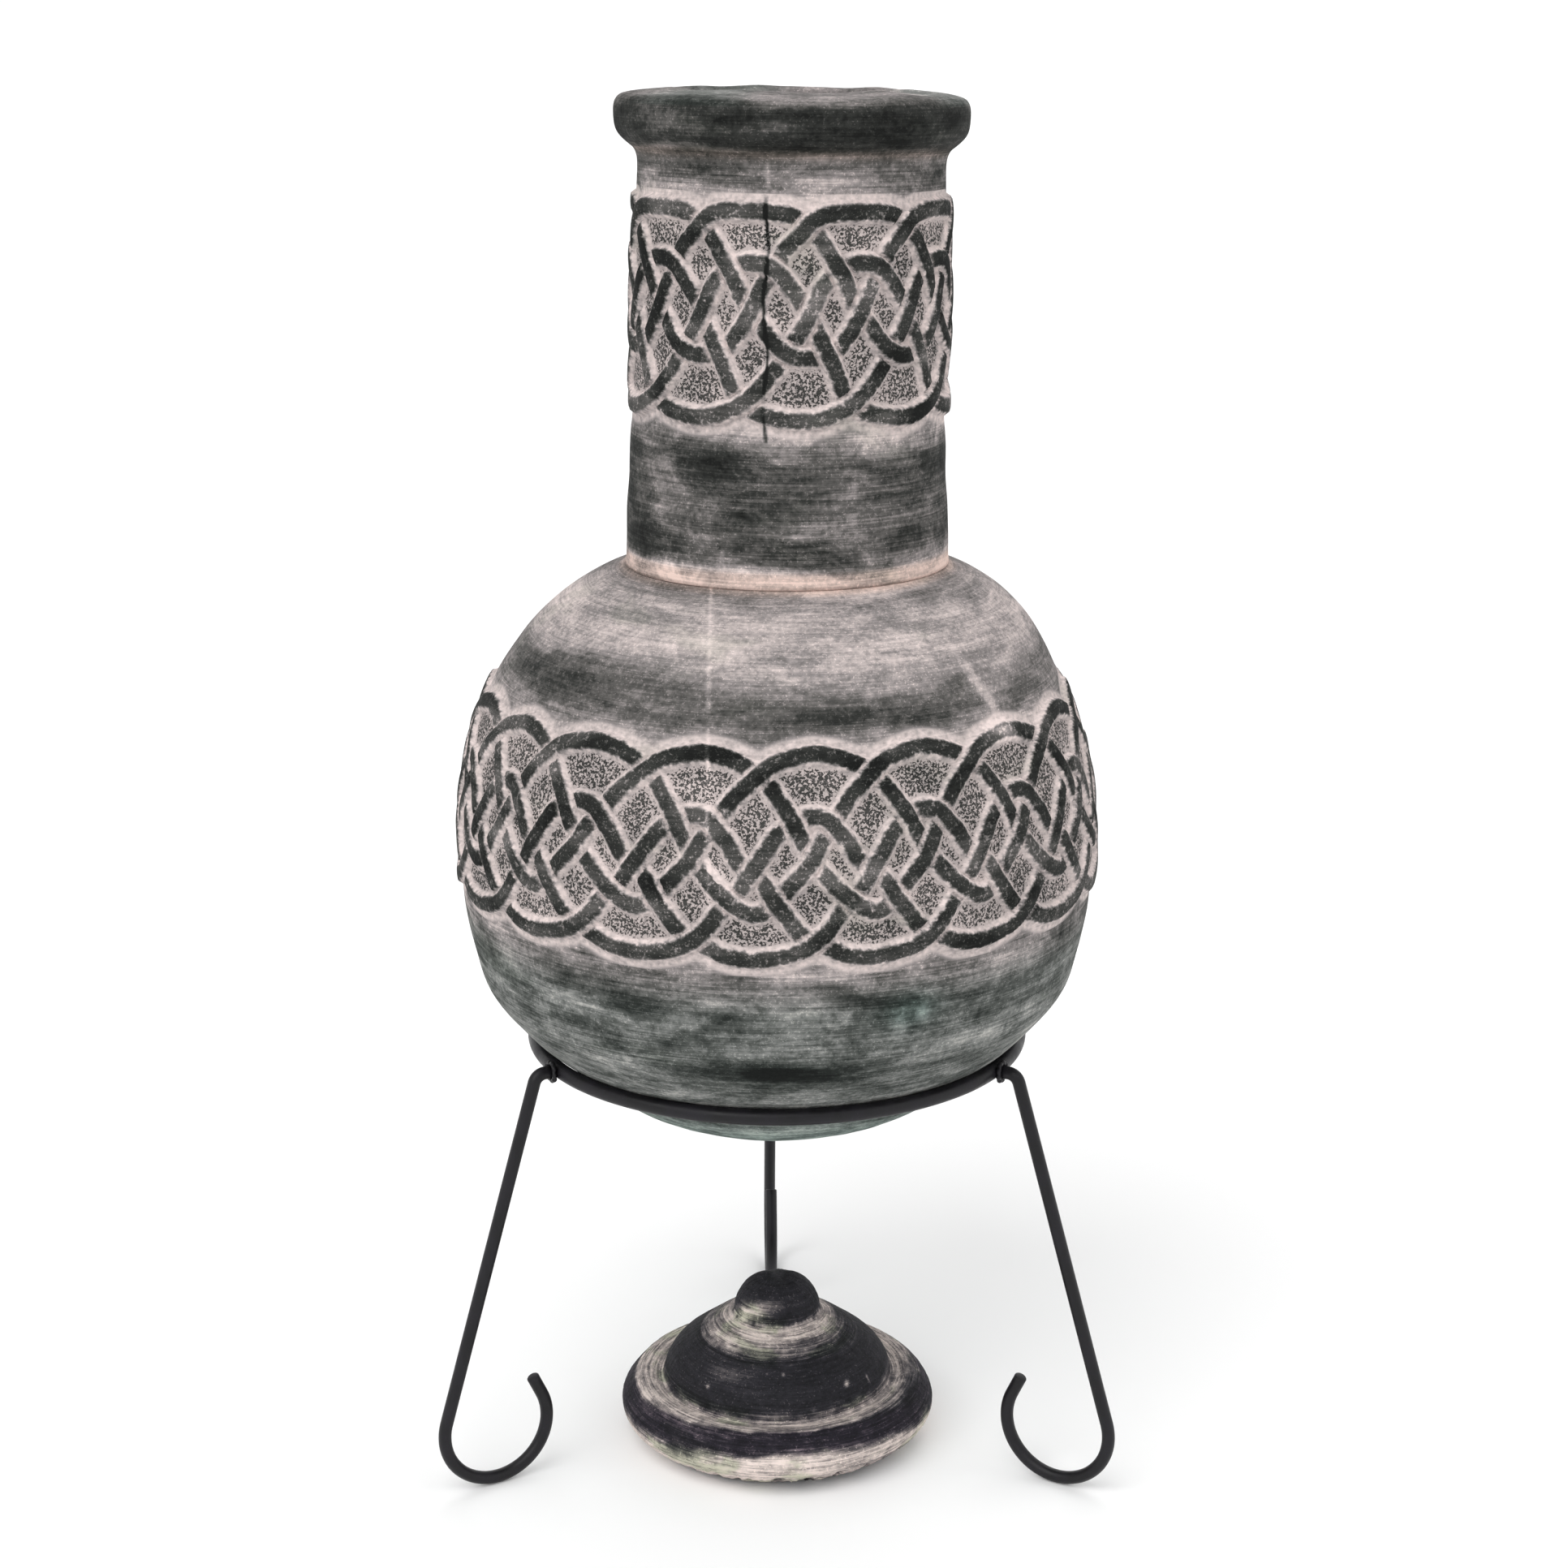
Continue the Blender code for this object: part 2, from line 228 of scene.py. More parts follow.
# ------------------------ knotwork
# One strand of each plait, over its three units of repeat: u grows along the band in units, w is -1 on the
# lower arcs and +1 on the upper ones. The first strand makes the upper arcs, the second the lower ones.
BELLY_STRANDS = (
    [(-0.456, 0.559), (-0.348, 0.678), (-0.224, 0.796), (-0.137, 0.875), (-0.021, 0.932), (0.158, 0.977),
     (0.282, 0.992), (0.477, 0.957), (0.602, 0.91), (0.74, 0.835), (0.876, 0.701), (0.967, 0.559),
     (1.058, 0.4), (1.124, 0.242), (1.216, 0.04), (1.332, -0.153), (1.456, -0.312), (1.575, -0.435),
     (1.693, -0.517), (1.79, -0.53), (1.9, -0.455), (1.975, -0.359), (2.062, -0.233), (2.187, -0.074),
     (2.266, 0.075), (2.325, 0.2), (2.43, 0.37)],
    [(-0.614, -0.897), (-0.52, -0.957), (-0.427, -0.989), (-0.241, -1.005), (-0.095, -0.984),
     (0.091, -0.932), (0.203, -0.866), (0.29, -0.786), (0.357, -0.707), (0.407, -0.628), (0.455, -0.545),
     (0.573, -0.4), (0.643, -0.288), (0.71, -0.153), (0.801, 0.005), (0.888, 0.163), (0.938, 0.242),
     (1.05, 0.345), (1.178, 0.408), (1.282, 0.416), (1.373, 0.375), (1.427, 0.305), (1.473, 0.234),
     (1.535, 0.155), (1.602, 0.005), (1.71, -0.135), (1.834, -0.235), (1.913, -0.391), (2.008, -0.549),
     (2.108, -0.707), (2.2, -0.81), (2.3, -0.865)],
)
NECK_STRANDS = (
    [(-0.474, 0.549), (-0.439, 0.636), (-0.361, 0.723), (-0.282, 0.809), (-0.203, 0.905), (-0.097, 0.97),
     (0.047, 0.997), (0.258, 1.0), (0.416, 0.998), (0.547, 0.983), (0.639, 0.955), (0.75, 0.875),
     (0.882, 0.74), (0.995, 0.549), (1.095, 0.376), (1.165, 0.203), (1.25, 0.05), (1.376, -0.109),
     (1.455, -0.222), (1.547, -0.317), (1.653, -0.378), (1.758, -0.395), (1.87, -0.385), (1.97, -0.345),
     (2.061, -0.29), (2.166, -0.144), (2.258, 0.029), (2.337, 0.22), (2.395, 0.33), (2.47, 0.45)],
    [(-0.689, -0.924), (-0.558, -0.962), (-0.374, -0.998), (-0.268, -1.003), (-0.137, -0.993),
     (-0.005, -0.953), (0.126, -0.889), (0.258, -0.794), (0.389, -0.646), (0.495, -0.5), (0.585, -0.345),
     (0.687, -0.187), (0.758, -0.057), (0.855, 0.177), (0.905, 0.289), (1.02, 0.42), (1.153, 0.493),
     (1.258, 0.515), (1.389, 0.501), (1.495, 0.437), (1.574, 0.341), (1.639, 0.255), (1.7, 0.17),
     (1.797, 0.0), (1.895, -0.213), (1.982, -0.404), (2.053, -0.577), (2.12, -0.76), (2.2, -0.86)],
)
# Where each strand crosses another, as u, going under and over in turn, and starting with under.
BELLY_CROSSINGS = (
    (-0.598, -0.24, 0.74, 1.05, 1.216, 1.57, 1.9, 2.225, 2.402),
    (-0.73, 0.25, 0.573, 0.71, 1.05, 1.402, 1.71, 1.9, 2.27),
)
NECK_CROSSINGS = (
    (-0.56, -0.27, 0.73, 1.07, 1.218, 1.579, 1.93, 2.218, 2.44),
    (-0.81, 0.19, 0.579, 0.797, 1.06, 1.44, 1.797, 1.93, 2.19),
)
FLAT_HALF = 6.0 * MM       # half the width of a strand's flat top
FLANK = 2.8 * MM           # its rounded flank
REACH = FLAT_HALF + FLANK
FAR = 1.0                  # a distance beyond every strand


class Plait:
    """One unit of a band of knotwork, as fields over (u, distance along the clay's line)."""

    def __init__(self, strands, crossings, pitch, w, along):
        """w and along are the band's rows, from the top down."""
        self.pitch, self.w, self.along = pitch, w, along
        self.u = np.linspace(0, 1, round(pitch / (0.6 * MM)) + 1)
        grid = np.stack(np.meshgrid(self.u * pitch, along, indexing="ij"), -1).reshape(-1, 2)
        layers = [self.layer(grid, strand, crossing, shift)
                  for strand, crossing in zip(strands, crossings) for shift in range(-2, 2)]
        distance, level, body = (np.array(part) for part in zip(*layers))
        strand, height = np.full(len(grid), FAR), np.zeros(len(grid))
        for k in range(len(layers)):
            cover = np.where(level > level[k], REACH - body, -FAR).max(0)
            strand = np.minimum(strand, np.maximum(distance[k] - FLAT_HALF, cover))
        order = np.argsort(level, axis=0)
        everywhere = np.arange(len(grid))
        for k in order:
            d, v, b = distance[k, everywhere], level[k, everywhere], body[k, everywhere]
            top = (0.86 + 0.14 * v) * (1 - 0.12 * np.minimum(1, (d / FLAT_HALF)) ** 2)
            flank_line = 1 - smoothstep(FLAT_HALF - 0.6 * MM, REACH, d)
            carve = 1 - smoothstep(REACH - 0.8 * MM, REACH + 1.0 * MM, b)
            height = np.maximum(height * (1 - carve), top * flank_line)
        shape = (len(self.u), len(along))
        # Painted light from above: the strands' upper flanks, which face up, are painted lighter and their
        # lower flanks darker.
        painted_flank_light = np.gradient(height.reshape(shape), along, axis=1) * FLANK
        self.fields = {
            "strand": strand.reshape(shape) / MM, "edge": (distance.min(0) - REACH).reshape(shape) / MM,
            "height": height.reshape(shape), "inside": self.inside(strands), "painted_flank_light": np.clip(painted_flank_light, -1, 1),
        }

    def inside(self, strands):
        """1 between the lowest and the highest strand, else 0."""
        highest, lowest = np.full(len(self.u), -9.0), np.full(len(self.u), 9.0)
        for strand in strands:
            line = smooth_line(strand, 0.02)
            for shift in range(-2, 2):
                got = np.interp(self.u, line[:, 0] + shift, line[:, 1], left=np.nan, right=np.nan)
                highest, lowest = np.fmax(highest, got), np.fmin(lowest, got)
        return ((self.w[None, :] < highest[:, None]) & (self.w[None, :] > lowest[:, None])).astype(float)

    def layer(self, grid, strand, crossing, shift):
        """Distance to one lap of a strand, its level there, and a distance, FAR past the lap's ends."""
        line = smooth_line([*strand, (strand[0][0] + 3, strand[0][1])], 0.02)
        places = [*crossing, crossing[1] + 3]
        level = np.interp(line[:, 0], places, [(-1.0, 1.0)[i % 2] for i in range(len(places))])
        level = np.sin(level * math.pi / 2)
        along = np.interp(line[:, 1], self.w[::-1], self.along[::-1])
        points = np.stack([(line[:, 0] + shift) * self.pitch, along], 1)
        best, at_level, at_end = np.full(len(grid), FAR), np.full(len(grid), -1.0), np.zeros(len(grid), bool)
        for i, (a, b, v) in enumerate(zip(points, points[1:], level)):
            if b[0] < -0.04 or a[0] > self.pitch + 0.04:
                continue
            step = b - a
            t = np.clip(((grid - a) @ step) / (step @ step), 0, 1)
            d = np.hypot(grid[:, 0] - a[0] - t * step[0], grid[:, 1] - a[1] - t * step[1])
            nearer = d < best
            end = (t == 0) if i == 0 else (t == 1) & (i == len(points) - 2)
            best, at_level = np.where(nearer, d, best), np.where(nearer, v, at_level)
            at_end = np.where(nearer, end, at_end)
        return best, at_level, np.where(at_end, FAR, best)

    def read(self, key, u, row):
        """A field at each vertex: u in units, row the row number within the band."""
        field = self.fields[key]
        place = (u % 1.0) * (len(self.u) - 1)
        low = np.floor(place).astype(int)
        part = place - low
        return field[low, row] * (1 - part) + field[np.minimum(low + 1, len(self.u) - 1), row] * part


# ------------------------ shader tools
def srgb(*values):
    """A colour given as 0 to 255 values, in the linear form that shaders take."""
    scaled = [v / 255 for v in values]
    return tuple(v / 12.92 if v <= 0.04045 else ((v + 0.055) / 1.055) ** 2.4 for v in scaled) + (1.0,)


class Shader:
    """A material's node tree, with short calls for the nodes used here."""

    def __init__(self, name):
        self.material = bpy.data.materials.new(name)
        self.material.use_nodes = True
        self.tree = self.material.node_tree
        self.principled = self.tree.nodes["Principled BSDF"]
        self.place = self.tree.nodes.new("ShaderNodeTexCoord").outputs["Object"]

    def link(self, value, socket):
        if isinstance(value, bpy.types.NodeSocket):
            self.tree.links.new(value, socket)
        else:
            socket.default_value = value

    def math(self, operation, first, second):
        node = self.tree.nodes.new("ShaderNodeMath")
        node.operation = operation
        for socket, value in zip(node.inputs, (first, second)):
            self.link(value, socket)
        return node.outputs[0]

    def add(self, *values):
        total = values[0]
        for value in values[1:]:
            total = self.math("ADD", total, value)
        return total

    def times(self, *values):
        total = values[0]
        for value in values[1:]:
            total = self.math("MULTIPLY", total, value)
        return total

    def less(self, value):
        """One minus a value."""
        return self.math("SUBTRACT", 1.0, value)

    def wrap(self):
        """From here on, the third axis of noise is the distance along the turned clay's line."""
        split = self.tree.nodes.new("ShaderNodeSeparateXYZ")
        join = self.tree.nodes.new("ShaderNodeCombineXYZ")
        self.link(self.place, split.inputs[0])
        for socket, value in zip(join.inputs, (split.outputs[0], split.outputs[1], self.attribute("along"))):
            self.link(value, socket)
        self.place = join.outputs[0]

    def attribute(self, name):
        node = self.tree.nodes.new("ShaderNodeAttribute")
        node.attribute_name = name
        return node.outputs["Fac"]

    def noise(self, stretch, detail=3.0, roughness=0.5, distortion=0.0, offset=(0.0, 0.0, 0.0)):
        """Noise about 0 to 1 of the place, with a scale along each axis in features per metre."""
        mapping = self.tree.nodes.new("ShaderNodeMapping")
        self.link(self.place, mapping.inputs["Vector"])
        mapping.inputs["Scale"].default_value = stretch
        mapping.inputs["Location"].default_value = offset
        node = self.tree.nodes.new("ShaderNodeTexNoise")
        self.link(mapping.outputs[0], node.inputs["Vector"])
        node.inputs["Scale"].default_value = 1.0
        node.inputs["Detail"].default_value = detail
        node.inputs["Roughness"].default_value = roughness
        node.inputs["Distortion"].default_value = distortion
        return node.outputs["Fac"]

    def swing(self, weight, *noise):
        """Noise about zero, times a weight."""
        return self.times(self.math("SUBTRACT", self.noise(*noise), 0.5), weight)

    def step(self, value, low, high, start=0.0, end=1.0):
        """A smooth step of a value from start to end."""
        node = self.tree.nodes.new("ShaderNodeMapRange")
        node.interpolation_type = "SMOOTHSTEP"
        for name, number in (("From Min", low), ("From Max", high), ("To Min", start), ("To Max", end)):
            node.inputs[name].default_value = number
        self.link(value, node.inputs["Value"])
        return node.outputs["Result"]

    def mix(self, kind, share, first, second, mode="MIX"):
        node = self.tree.nodes.new("ShaderNodeMix")
        node.data_type = kind
        node.blend_type = mode
        for name, value in (("Factor", share), ("A", first), ("B", second)):
            self.link(value, next(s for s in node.inputs if s.name == name and s.enabled))
        return next(s for s in node.outputs if s.enabled)

    def blend(self, share, first, second):
        """Mixes two numbers."""
        return self.mix("FLOAT", share, first, second)

    def tint(self, share, first, second, mode="MIX"):
        """Mixes two colours."""
        return self.mix("RGBA", share, first, second, mode)

    def ramp(self, value, *stops):
        node = self.tree.nodes.new("ShaderNodeValToRGB")
        elements = node.color_ramp.elements
        while len(elements) < len(stops):
            elements.new(0.5)
        for element, (place, color) in zip(elements, stops):
            element.position = place
            element.color = color
        self.link(value, node.inputs["Fac"])
        return node.outputs["Color"]

    def bump(self, *layers):
        """Chains bumps, each (height in metres, height socket)."""
        normal = None
        for distance, height in layers:
            node = self.tree.nodes.new("ShaderNodeBump")
            node.inputs["Strength"].default_value = 1.0
            node.inputs["Distance"].default_value = distance
            self.link(height, node.inputs["Height"])
            if normal:
                self.link(normal, node.inputs["Normal"])
            normal = node.outputs["Normal"]
        self.link(normal, self.principled.inputs["Normal"])

    def surface(self, color, roughness, metallic=0.0, specular=0.35):
        self.link(color, self.principled.inputs["Base Color"])
        self.link(roughness, self.principled.inputs["Roughness"])
        self.principled.inputs["Metallic"].default_value = metallic
        self.principled.inputs["Specular IOR Level"].default_value = specular


# ------------------------ materials
PAINT = (                                  # from the darkest paint to bare worn clay
    (0.0, srgb(22, 23, 22)), (0.22, srgb(49, 50, 48)), (0.42, srgb(90, 88, 86)),
    (0.62, srgb(140, 134, 133)), (0.82, srgb(196, 184, 181)), (1.0, srgb(232, 216, 212)),
)
LID_PAINT = (
    (0.0, srgb(24, 24, 27)), (0.22, srgb(42, 41, 46)), (0.42, srgb(82, 78, 80)),
    (0.62, srgb(134, 126, 124)), (0.82, srgb(192, 180, 174)), (1.0, srgb(226, 211, 204)),
)


def painted_clay():
    """Brushed charcoal paint, worn to the pinkish clay on edges and brush strokes, with painted light and
    shade on the knotwork's flanks.
    """
    s = Shader("painted_clay")
    s.wrap()
    strokes = s.add(
        s.swing(0.42, (8, 8, 190), 5, 0.65),
        s.swing(0.42, (16, 16, 760), 2, 0.6, 0.0, (3, 1, 2)),
    )
    clouds = s.add(
        s.swing(1.00, (14, 14, 32), 5, 0.65, 0.8, (1, 5, 9)),
        s.swing(0.70, (28, 28, 52), 5, 0.65, 0.4, (8, 2, 3)),
    )
    grain = s.noise((620, 620, 620), 2, 0.6)
    crumbs = s.noise((260, 260, 260), 2, 0.55, 0.0, (7, 7, 7))
    rough = s.math("SUBTRACT", crumbs, 0.5)
    uneven = s.times(s.add(strokes, clouds), s.less(s.attribute("calm")))
    plain = s.add(s.attribute("tone"), uneven, s.times(rough, 0.36), s.times(s.step(grain, 0.58, 0.68), 0.16))

    strand, edge, inside = s.attribute("strand"), s.attribute("edge"), s.attribute("inside")
    ragged = s.times(rough, 2.2)
    dusty = s.swing(1.3, (9, 9, 16), 3, 0.6, 0.3, (6, 2, 9))
    top = s.add(0.18, s.times(strokes, 0.5), s.times(clouds, 0.75), s.times(s.step(grain, 0.57, 0.68), 0.24),
                s.times(s.step(crumbs, 0.56, 0.70), 0.26), dusty)
    worn = s.add(0.80, s.times(strokes, 0.3), s.times(clouds, 0.25), s.times(rough, 0.5))
    fewer = s.step(edge, -1.0, 4.0, -0.10, 0.01)
    punched = s.step(s.add(s.noise((560, 560, 560), 2, 0.6, 0.4, (2, 8, 4)), fewer), 0.46, 0.56)
    ground = s.add(0.74, s.times(strokes, 0.2), s.times(clouds, 0.35), s.times(punched, -0.47))
    ground_mask = s.times(s.step(s.add(edge, ragged), -1.0, 1.0), inside)
    beyond = s.add(edge, s.times(ragged, 1.6), s.times(clouds, 7.0), s.times(strokes, 7.0))
    outer_mask = s.times(s.step(beyond, 2.5, 7.0), s.less(inside))
    top_mask = s.step(s.add(strand, s.times(ragged, 1.2), s.times(clouds, 2.0)), -2.0, 0.8, 1.0, 0.0)
    band = s.blend(outer_mask, s.blend(ground_mask, worn, ground), plain)
    # Adds the per-vertex wear, which also holds painted light: the knotwork's upper flanks lighter, its lower
    # flanks darker.
    value = s.add(s.blend(top_mask, band, top), s.attribute("wear_and_painted_light"))
    color = s.ramp(value, *PAINT)
    green = s.step(s.noise((11, 11, 26), 3, 0.6, 0.4, (4, 4, 1)), 0.55, 0.72, 0.0, 0.30)
    color = s.tint(green, color, srgb(190, 205, 190), "MULTIPLY")
    color = s.tint(s.attribute("teal"), color, srgb(196, 226, 220), "MULTIPLY")
    color = s.tint(s.attribute("warm"), color, srgb(252, 241, 233), "MULTIPLY")
    color = s.tint(s.attribute("soot"), color, srgb(34, 31, 30), "MIX")
    s.surface(color, s.step(grain, 0.3, 0.7, 0.78, 0.95), 0.0, 0.12)
    pits = s.times(s.less(punched), ground_mask)
    brushed = s.noise((30, 30, 520), 3, 0.6)
    s.bump((0.6 * MM, pits), (0.25 * MM, crumbs), (0.30 * MM, brushed), (0.12 * MM, grain))
    return s.material


def lid_clay():
    """The lid's paint: near black, with the dark purple flange, beige clay below and a worn top."""
    s = Shader("lid_clay")
    s.wrap()
    strokes = s.add(
        s.swing(0.95, (9, 9, 210), 5, 0.7),
        s.swing(0.80, (24, 24, 800), 2, 0.6, 0.0, (3, 1, 2)),
    )
    clouds = s.add(
        s.swing(0.75, (24, 24, 60), 5, 0.65, 0.9, (1, 5, 9)),
        s.swing(0.60, (80, 80, 150), 4, 0.65, 0.4, (8, 2, 3)),
    )
    grain = s.noise((560, 560, 560), 2, 0.6)
    crumbs = s.noise((240, 240, 240), 3, 0.6, 0.0, (7, 7, 7))
    calm = s.attribute("calm")
    value = s.add(s.attribute("tone"), s.times(s.add(strokes, clouds), s.less(s.times(calm, 0.65))),
                  s.times(s.step(grain, 0.60, 0.68), 0.22),
                  s.times(s.math("SUBTRACT", crumbs, 0.5), 0.35), s.attribute("wear_and_painted_light"))
    color = s.ramp(value, *LID_PAINT)
    color = s.tint(s.attribute("hue"), color, srgb(226, 216, 232), "MULTIPLY")
    green = s.step(s.noise((20, 20, 44), 3, 0.6, 0.6, (4, 4, 1)), 0.52, 0.64, 0.0, 0.6)
    color = s.tint(s.times(green, s.less(calm)), color, srgb(196, 218, 190), "MULTIPLY")
    color = s.tint(s.attribute("soot"), color, srgb(46, 42, 40), "MIX")
    s.surface(color, s.step(grain, 0.3, 0.7, 0.66, 0.9), 0.0, 0.16)
    s.bump((0.25 * MM, crumbs), (0.3 * MM, s.noise((30, 30, 480), 3, 0.6)), (0.12 * MM, grain))
    return s.material


def black_iron():
    """Satin black paint on rod, with a little orange peel and dust."""
    s = Shader("black_iron")
    peel = s.noise((420, 420, 420), 2, 0.5)
    runs = s.noise((60, 60, 30), 3, 0.6, 0.2)
    dust = s.step(s.noise((900, 900, 900), 2, 0.6, 0.0, (5, 2, 1)), 0.68, 0.76, 0.0, 0.2)
    color = s.tint(s.step(runs, 0.35, 0.7), srgb(14, 13, 16), srgb(24, 22, 28))
    color = s.tint(dust, color, srgb(96, 92, 94))
    s.surface(color, s.step(runs, 0.3, 0.7, 0.36, 0.52), 0.0, 0.3)
    s.bump((0.10 * MM, peel), (0.25 * MM, runs))
    return s.material


# ------------------------ the belly
BELLY_COLUMNS = 720
BELLY_UNITS = 18                           # repeats of the knotwork round the clay
BELLY_PITCH = 87 * MM                      # length of one repeat on the clay
BELLY_RELIEF = 4.9 * MM
NECK_COLUMNS = 504
NECK_UNITS = 9
NECK_PITCH = 81 * MM
NECK_RELIEF = 5.6 * MM
BELLY_BAND_W = (0.4694, 0.6095)            # heights of the lower and upper arcs' middles
NECK_BAND_W = (0.8258, 0.9700)
BELLY_MARGIN = 14 * MM                     # fine rows beyond them
NECK_MARGINS = (16 * MM, 12 * MM)
NECK_SEAM_AZIMUTH = math.radians(-8.6)
MOUTH_Z = (LIP_LOW.z + LIP_HIGH.z) / 2 - 0.1 * MM
MOUTH_ROLL = 13 * MM
MOUTH_HALF_WIDTH = LIP_HIGH.x - MOUTH_ROLL + 0.3 * MM
MOUTH_HALF_HEIGHT = (LIP_HIGH.z - LIP_LOW.z) / 2 - MOUTH_ROLL + 0.3 * MM


def mouth_reach(x, z):
    """1 on the mouth's outline, less inside it."""
    return np.hypot(x / MOUTH_HALF_WIDTH, (z - MOUTH_Z) / MOUTH_HALF_HEIGHT)


BELLY_OUTER = [                            # (r, z) of the clay under the knotwork, joint to bottom
    (0.121, JOINT_Z - GAP), (0.1265, 0.7015), (0.144, 0.695), (0.1672, 0.68), (0.188, 0.66),
    (0.202, 0.64), (0.215, 0.617), (0.227, 0.59), (0.2342, 0.565), (0.2395, 0.54),
    (0.2425, 0.515), (0.2436, 0.49), (0.2431, 0.466), (0.2411, 0.44), (0.235, 0.41),
    (0.2261, 0.38), (0.206, 0.354), (0.1885, 0.3365), (0.159, 0.314), (0.137, 0.294),
    (0.106, 0.277), (0.07, BASE_Z + 1.5 * MM), (0.062, BASE_Z + 0.1 * MM),
]
BELLY_INNER = [
    (0.06, 0.286), (0.1, 0.295), (0.145, 0.324), (0.186, 0.364), (0.216, 0.42),
    (0.225, 0.49), (0.219, 0.565), (0.185, 0.638), (0.14, 0.676), (0.1015, JOINT_Z - GAP),
]


def spaced(line, spacings):
    """A smooth line resampled: spacings is (height, spacing) from the top down, used below each height."""
    fine = smooth_line(line, 0.0008)
    along = np.concatenate([[0], np.cumsum(np.hypot(*np.diff(fine, axis=0).T))])
    places, here = [0.0], 0.0
    while here < along[-1]:
        z = np.interp(here, along, fine[:, 1])
        here += next(gap for top, gap in reversed(spacings) if z <= top)
        places.append(min(here, along[-1]))
    if places[-1] - places[-2] < 0.3 * MM:
        places.pop(-2)
    return np.stack([np.interp(places, along, fine[:, 0]), np.interp(places, along, fine[:, 1])], 1)


def band_fields(turned, rows, strands, crossings, pitch, band_w, to_u, azimuth, row):
    """A plait's fields at every vertex, and all rows' normals and distances along the line."""
    normal, along = turned.row_normals()
    first, last = rows
    w = (turned.heights()[first:last] - band_w[0]) / (band_w[1] - band_w[0]) * 2 - 1
    plait = Plait(strands, crossings, pitch, w, along[first:last])
    fields = {"strand": np.full(len(row), 8.0), "edge": np.full(len(row), 12.0),
              "height": np.zeros(len(row)), "inside": np.zeros(len(row)), "painted_flank_light": np.zeros(len(row))}
    here = (row >= first) & (row < last)
    u = to_u(np.degrees(azimuth[here]))
    for key in fields:
        fields[key][here] = plait.read(key, u, row[here] - first)
    return fields, normal, along


def belly_to_u(degrees):
    wander = 0.10 * np.exp(-((degrees + 42) / 13) ** 2) - 0.05 * np.exp(-((degrees - 66) / 12) ** 2)
    return (degrees - 1.4) * BELLY_UNITS / 360 + wander


def neck_to_u(degrees):
    return (degrees - 15.2) * NECK_UNITS / 360 + 0.056 * np.sin(np.radians(degrees))


def tone_by_height(height, stops):
    places = np.array(stops)
    return np.interp(height, places[:, 0], places[:, 1])


BELLY_TONES = [
    (0.266, 0.66), (0.29, 0.62), (0.33, 0.46), (0.4, 0.5), (0.445, 0.47), (0.458, 0.53), (0.47, 0.58),
    (0.613, 0.62), (0.62, 0.54), (0.628, 0.44), (0.642, 0.47), (0.658, 0.64), (0.675, 0.72), (0.69, 0.68),
    (0.699, 0.56), (0.702, 0.66), (0.705, 0.78),
]
NECK_TONES = [
    (0.705, 0.87), (0.714, 0.84), (0.721, 0.48), (0.735, 0.36), (0.76, 0.3), (0.795, 0.32), (0.806, 0.46),
    (0.815, 0.6), (0.978, 0.62), (0.988, 0.42), (1.002, 0.42), (1.009, 0.46), (1.014, 0.14), (1.037, 0.14),
    (1.042, 0.3), (1.045, 0.52), (1.051, 0.6),
]
NECK_MARKS = [
    (-24.0, 0.775, 16.0, 24 * MM, 0.2, -0.16), (-62.0, 0.73, 14.0, 18 * MM, 0.0, -0.24),
    (24.0, 0.765, 13.0, 16 * MM, 0.2, 0.14), (-2.0, 0.8, 6.0, 9 * MM, 0.0, 0.12),
    (-40.0, 1.03, 12.0, 9 * MM, 0.0, 0.16), (-4.0, 1.028, 5.0, 8 * MM, 0.0, 0.15),
    (52.0, 1.027, 6.0, 9 * MM, 0.3, 0.14), (-58.0, 0.81, 18.0, 12 * MM, 0.0, -0.1),
]
BELLY_SEAM_X = -46.5 * MM                  # the mould seam lies in an upright plane
# Blotches and scratches: azimuth, height, size round (degrees), size up, tilt, change of tone.
BELLY_MARKS = [
    (1.0, 0.3765, 13.0, 10 * MM, 0.0, -0.8), (-27.6, 0.426, 9.0, 14 * MM, 0.3, -0.26),
    (11.6, 0.421, 1.0, 8 * MM, -1.8, 0.32), (-22.0, 0.388, 5.0, 2.2 * MM, 0.5, 0.24),
    (21.5, 0.413, 1.3, 10 * MM, 0.4, 0.3), (26.0, 0.417, 1.0, 8 * MM, 0.2, 0.24),
    (18.0, 0.432, 7.0, 8 * MM, 0.2, -0.22), (3.0, 0.421, 9.0, 13 * MM, 0.0, 0.12),
    (44.7, 0.64, 1.5, 23 * MM, 1.9, 0.26), (46.5, 0.609, 2.6, 6 * MM, 0.6, 0.4),
    (-34.0, 0.65, 16.0, 16 * MM, 0.2, -0.16), (-55.0, 0.645, 14.0, 18 * MM, 0.0, -0.14),
    (30.0, 0.685, 5.0, 5 * MM, 0.3, -0.14), (14.0, 0.6325, 17.0, 7 * MM, 0.1, -0.22),
    (-38.0, 0.684, 12.0, 7 * MM, 0.0, -0.12), (-50.0, 0.668, 12.0, 7 * MM, 0.0, 0.12),
]


def marks_at(azimuth, height, marks):
    total = np.zeros(len(azimuth))
    for degrees, z, around, up, tilt, change in marks:
        total += change * bump_at(azimuth, height, (degrees, z), (around, up), tilt)
    return total


